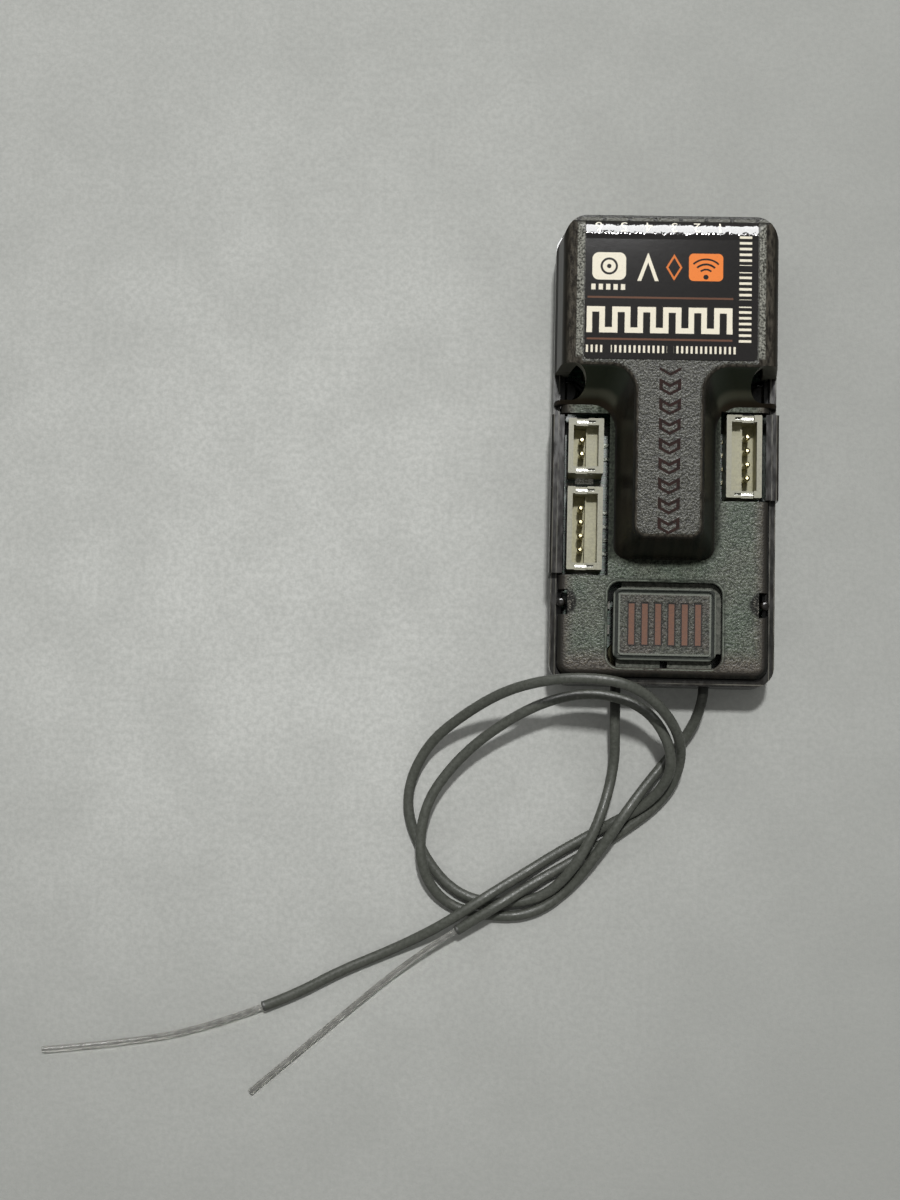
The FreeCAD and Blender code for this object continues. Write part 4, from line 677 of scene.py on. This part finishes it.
def button_plastic():
    """The pad: grained like the deck inside its border, smooth and darker outside it."""
    look = Finish("button_plastic", IOR=1.5, Specular_IOR_Level=0.14)
    fine = look.noise(4.6, 2.0, 0.5)
    grain = look.between(fine, 0.28, 0.72)
    from_x = look.math("ABSOLUTE", look.math("SUBTRACT", look.x, PAD_X))
    from_y = look.math("ABSOLUTE", look.math("SUBTRACT", look.y, PANEL_Y))
    panel = look.both(look.between(from_x, 4.75, 4.95, 1.0, 0.0), look.between(from_y, 3.12, 3.32, 1.0, 0.0),
                      look.between(look.up, 0.95, 0.99))
    tone = look.between(look.noise(0.4, 2.0, 0.5), 0.35, 0.65)
    light = look.mix(tone, linear(75, 77, 67), linear(78, 74, 66))
    dark = look.mix(tone, linear(25, 28, 21), linear(27, 25, 20))
    edge = look.mix(look.between(look.noise(2.5, 2.0, 0.5), 0.3, 0.7), linear(20, 24, 19), linear(36, 40, 34))
    face = look.mix(panel, edge, look.mix(grain, dark, light))
    # Pale lines where the light runs along the pad's edge and along its groove
    outer = look.most(look.between(from_x, 5.3, 5.36), look.between(from_y, 3.68, 3.74))
    inner = look.both(look.between(from_x, 4.92, 4.98, 1.0, 0.0), look.between(from_y, 3.3, 3.36, 1.0, 0.0),
                      look.most(look.between(from_x, 4.74, 4.8), look.between(from_y, 3.12, 3.18)))
    line = look.both(look.most(outer, inner), look.between(look.z, 6.9, 7.05))
    face = look.mix(look.both(line, 0.55), face, linear(124, 128, 118))
    # The flange under the deck, paler
    flange = look.between(look.z, 6.1, 6.6, 1.0, 0.0)
    face = look.mix(flange, face, look.mix(look.between(look.noise(3.0, 3.0, 0.6), 0.3, 0.7),
                                           linear(64, 67, 60), linear(100, 101, 93)))
    look.colour(face)
    look.rough(look.mix(panel, grey(0.7), look.mix(grain, grey(0.5), grey(0.34))))
    look.relief(fine, 0.08, panel)
    return look.material


def brown_bars():
    """Matt brown bars, dark along their edges."""
    look = Finish("bar_brown", Specular_IOR_Level=0.2)
    patch = look.noise(5.0, 3.0, 0.6)
    share = look.between(patch, 0.3, 0.7)
    turn = look.turns(look.x, -3.77, 1.42)
    core = look.both(look.inside(turn, 0.085, 0.507, 0.03),
                     look.inside(look.y, -20.54, -16.17, 0.04))
    look.colour(look.mix(core, linear(22, 13, 9), look.mix(share, linear(88, 58, 43), linear(106, 74, 57))))
    look.rough(look.between(patch, 0.3, 0.7, 0.6, 0.75))
    look.relief(patch, 0.012)
    return look.material


def floor_paper():
    """Matte paper with soft cloudy fibres, with a painted pool of light near the middle of the picture and
    painted shade towards the right and the bottom.
    """
    look = Finish("floor_paper", IOR=1.45, Roughness=0.9, Specular_IOR_Level=0.2)
    away = look.reach(-29.0, -22.0)
    cloud = look.between(look.noise(0.09, 3.0, 0.6), 0.3, 0.7)
    fibre = look.between(look.noise(1.7, 4.0, 0.7), 0.3, 0.7)
    middle = look.mix(cloud, linear(177, 178, 174), linear(188, 189, 185))
    edge = look.mix(cloud, linear(163, 164, 160), linear(170, 171, 167))
    shade = linear(140, 141, 137)
    # Painted pool of light round the middle of the picture, then painted shade towards the right and the
    # bottom
    paper = look.mix(look.between(away, 14.0, 80.0), middle, edge)
    paper = look.mix(look.both(look.between(look.x, -40.0, 30.0), 0.5), paper, shade)
    paper = look.mix(look.both(look.between(look.y, -80.0, -20.0, 1.0, 0.0), 0.5), paper, shade)
    look.colour(look.mix(look.both(fibre, 0.42), paper, linear(140, 142, 138)))
    look.relief(look.noise(2.2, 4.0, 0.65), 0.045)
    return look.material


def dress(material, *names):
    """Gives CAD nodes or pieces this material in place of what they had."""
    for name in names:
        data = (nodes.get(name) or bpy.data.objects[name]).data
        data.materials.clear()
        data.materials.append(material)


dress(case_plastic(), "case_top")
dress(tray_plastic(), "case_bottom")
dress(label_film(), "label")
dress(coax_sheath(), "lead_left", "lead_right", "coax_inside_left", "coax_inside_right")
dress(clear_core(), "tip_left", "tip_right")
dress(header_ivory(), "port_a_housing", "port_b_housing", "port_c_housing")
dress(contacts(), "port_a_pins", "port_b_pins", "port_c_pins", "signal_pins", "positive_pins",
      "negative_pins")
# Painted shade: the coax plugs are nearly black, standing for the shade of the gap they sit in
dress(metal("plug_gold", (25, 25, 18), (44, 42, 32), 0.45, 0.6), "coax_plug_left", "coax_plug_right")
dress(metal("core_wire", (30, 30, 28), (58, 58, 54), 0.35, 0.5), "wire_left", "wire_right")
dress(moulded("sheath_edge", (44, 45, 42), (60, 61, 57), 0.4, 0.55), "sheath_edge_left",
      "sheath_edge_right")
dress(moulded("ink_cream", (214, 208, 190), (228, 222, 204), 0.45, 0.6, scale=9.0), *digit_pieces)
dress(metal("tinned_metal", (132, 132, 126), (186, 186, 180), 0.2, 0.4), "port_a_pegs", "port_b_pegs",
      "port_c_pegs", "radio_shield", "crystal_can")
dress(metal("sensor_metal", (150, 150, 146), (190, 190, 186), 0.24, 0.4), "pressure_sensor")
dress(board_green(), "circuit_board")
dress(button_plastic(), "bind_button")
dress(brown_bars(), "button_bars")
dress(moulded("header_black", (24, 24, 24), (36, 36, 35), 0.34, 0.5), "servo_header_block")
dress(moulded("chip_black", (28, 28, 29), (42, 42, 43), 0.4, 0.6, scale=9.0), "microcontroller",
      "motion_sensor", "regulator", "switch_body")
dress(moulded("plunger_black", (40, 40, 40), (58, 58, 56), 0.35, 0.5), "switch_plunger")
dress(moulded("ceramic_tan", (60, 58, 47), (84, 80, 66), 0.3, 0.45), "board_capacitors")
dress(moulded("led_clear", (206, 210, 196), (224, 226, 214), 0.12, 0.2), "status_led")
dress(floor_paper(), "floor")


bpy.context.view_layer.update()
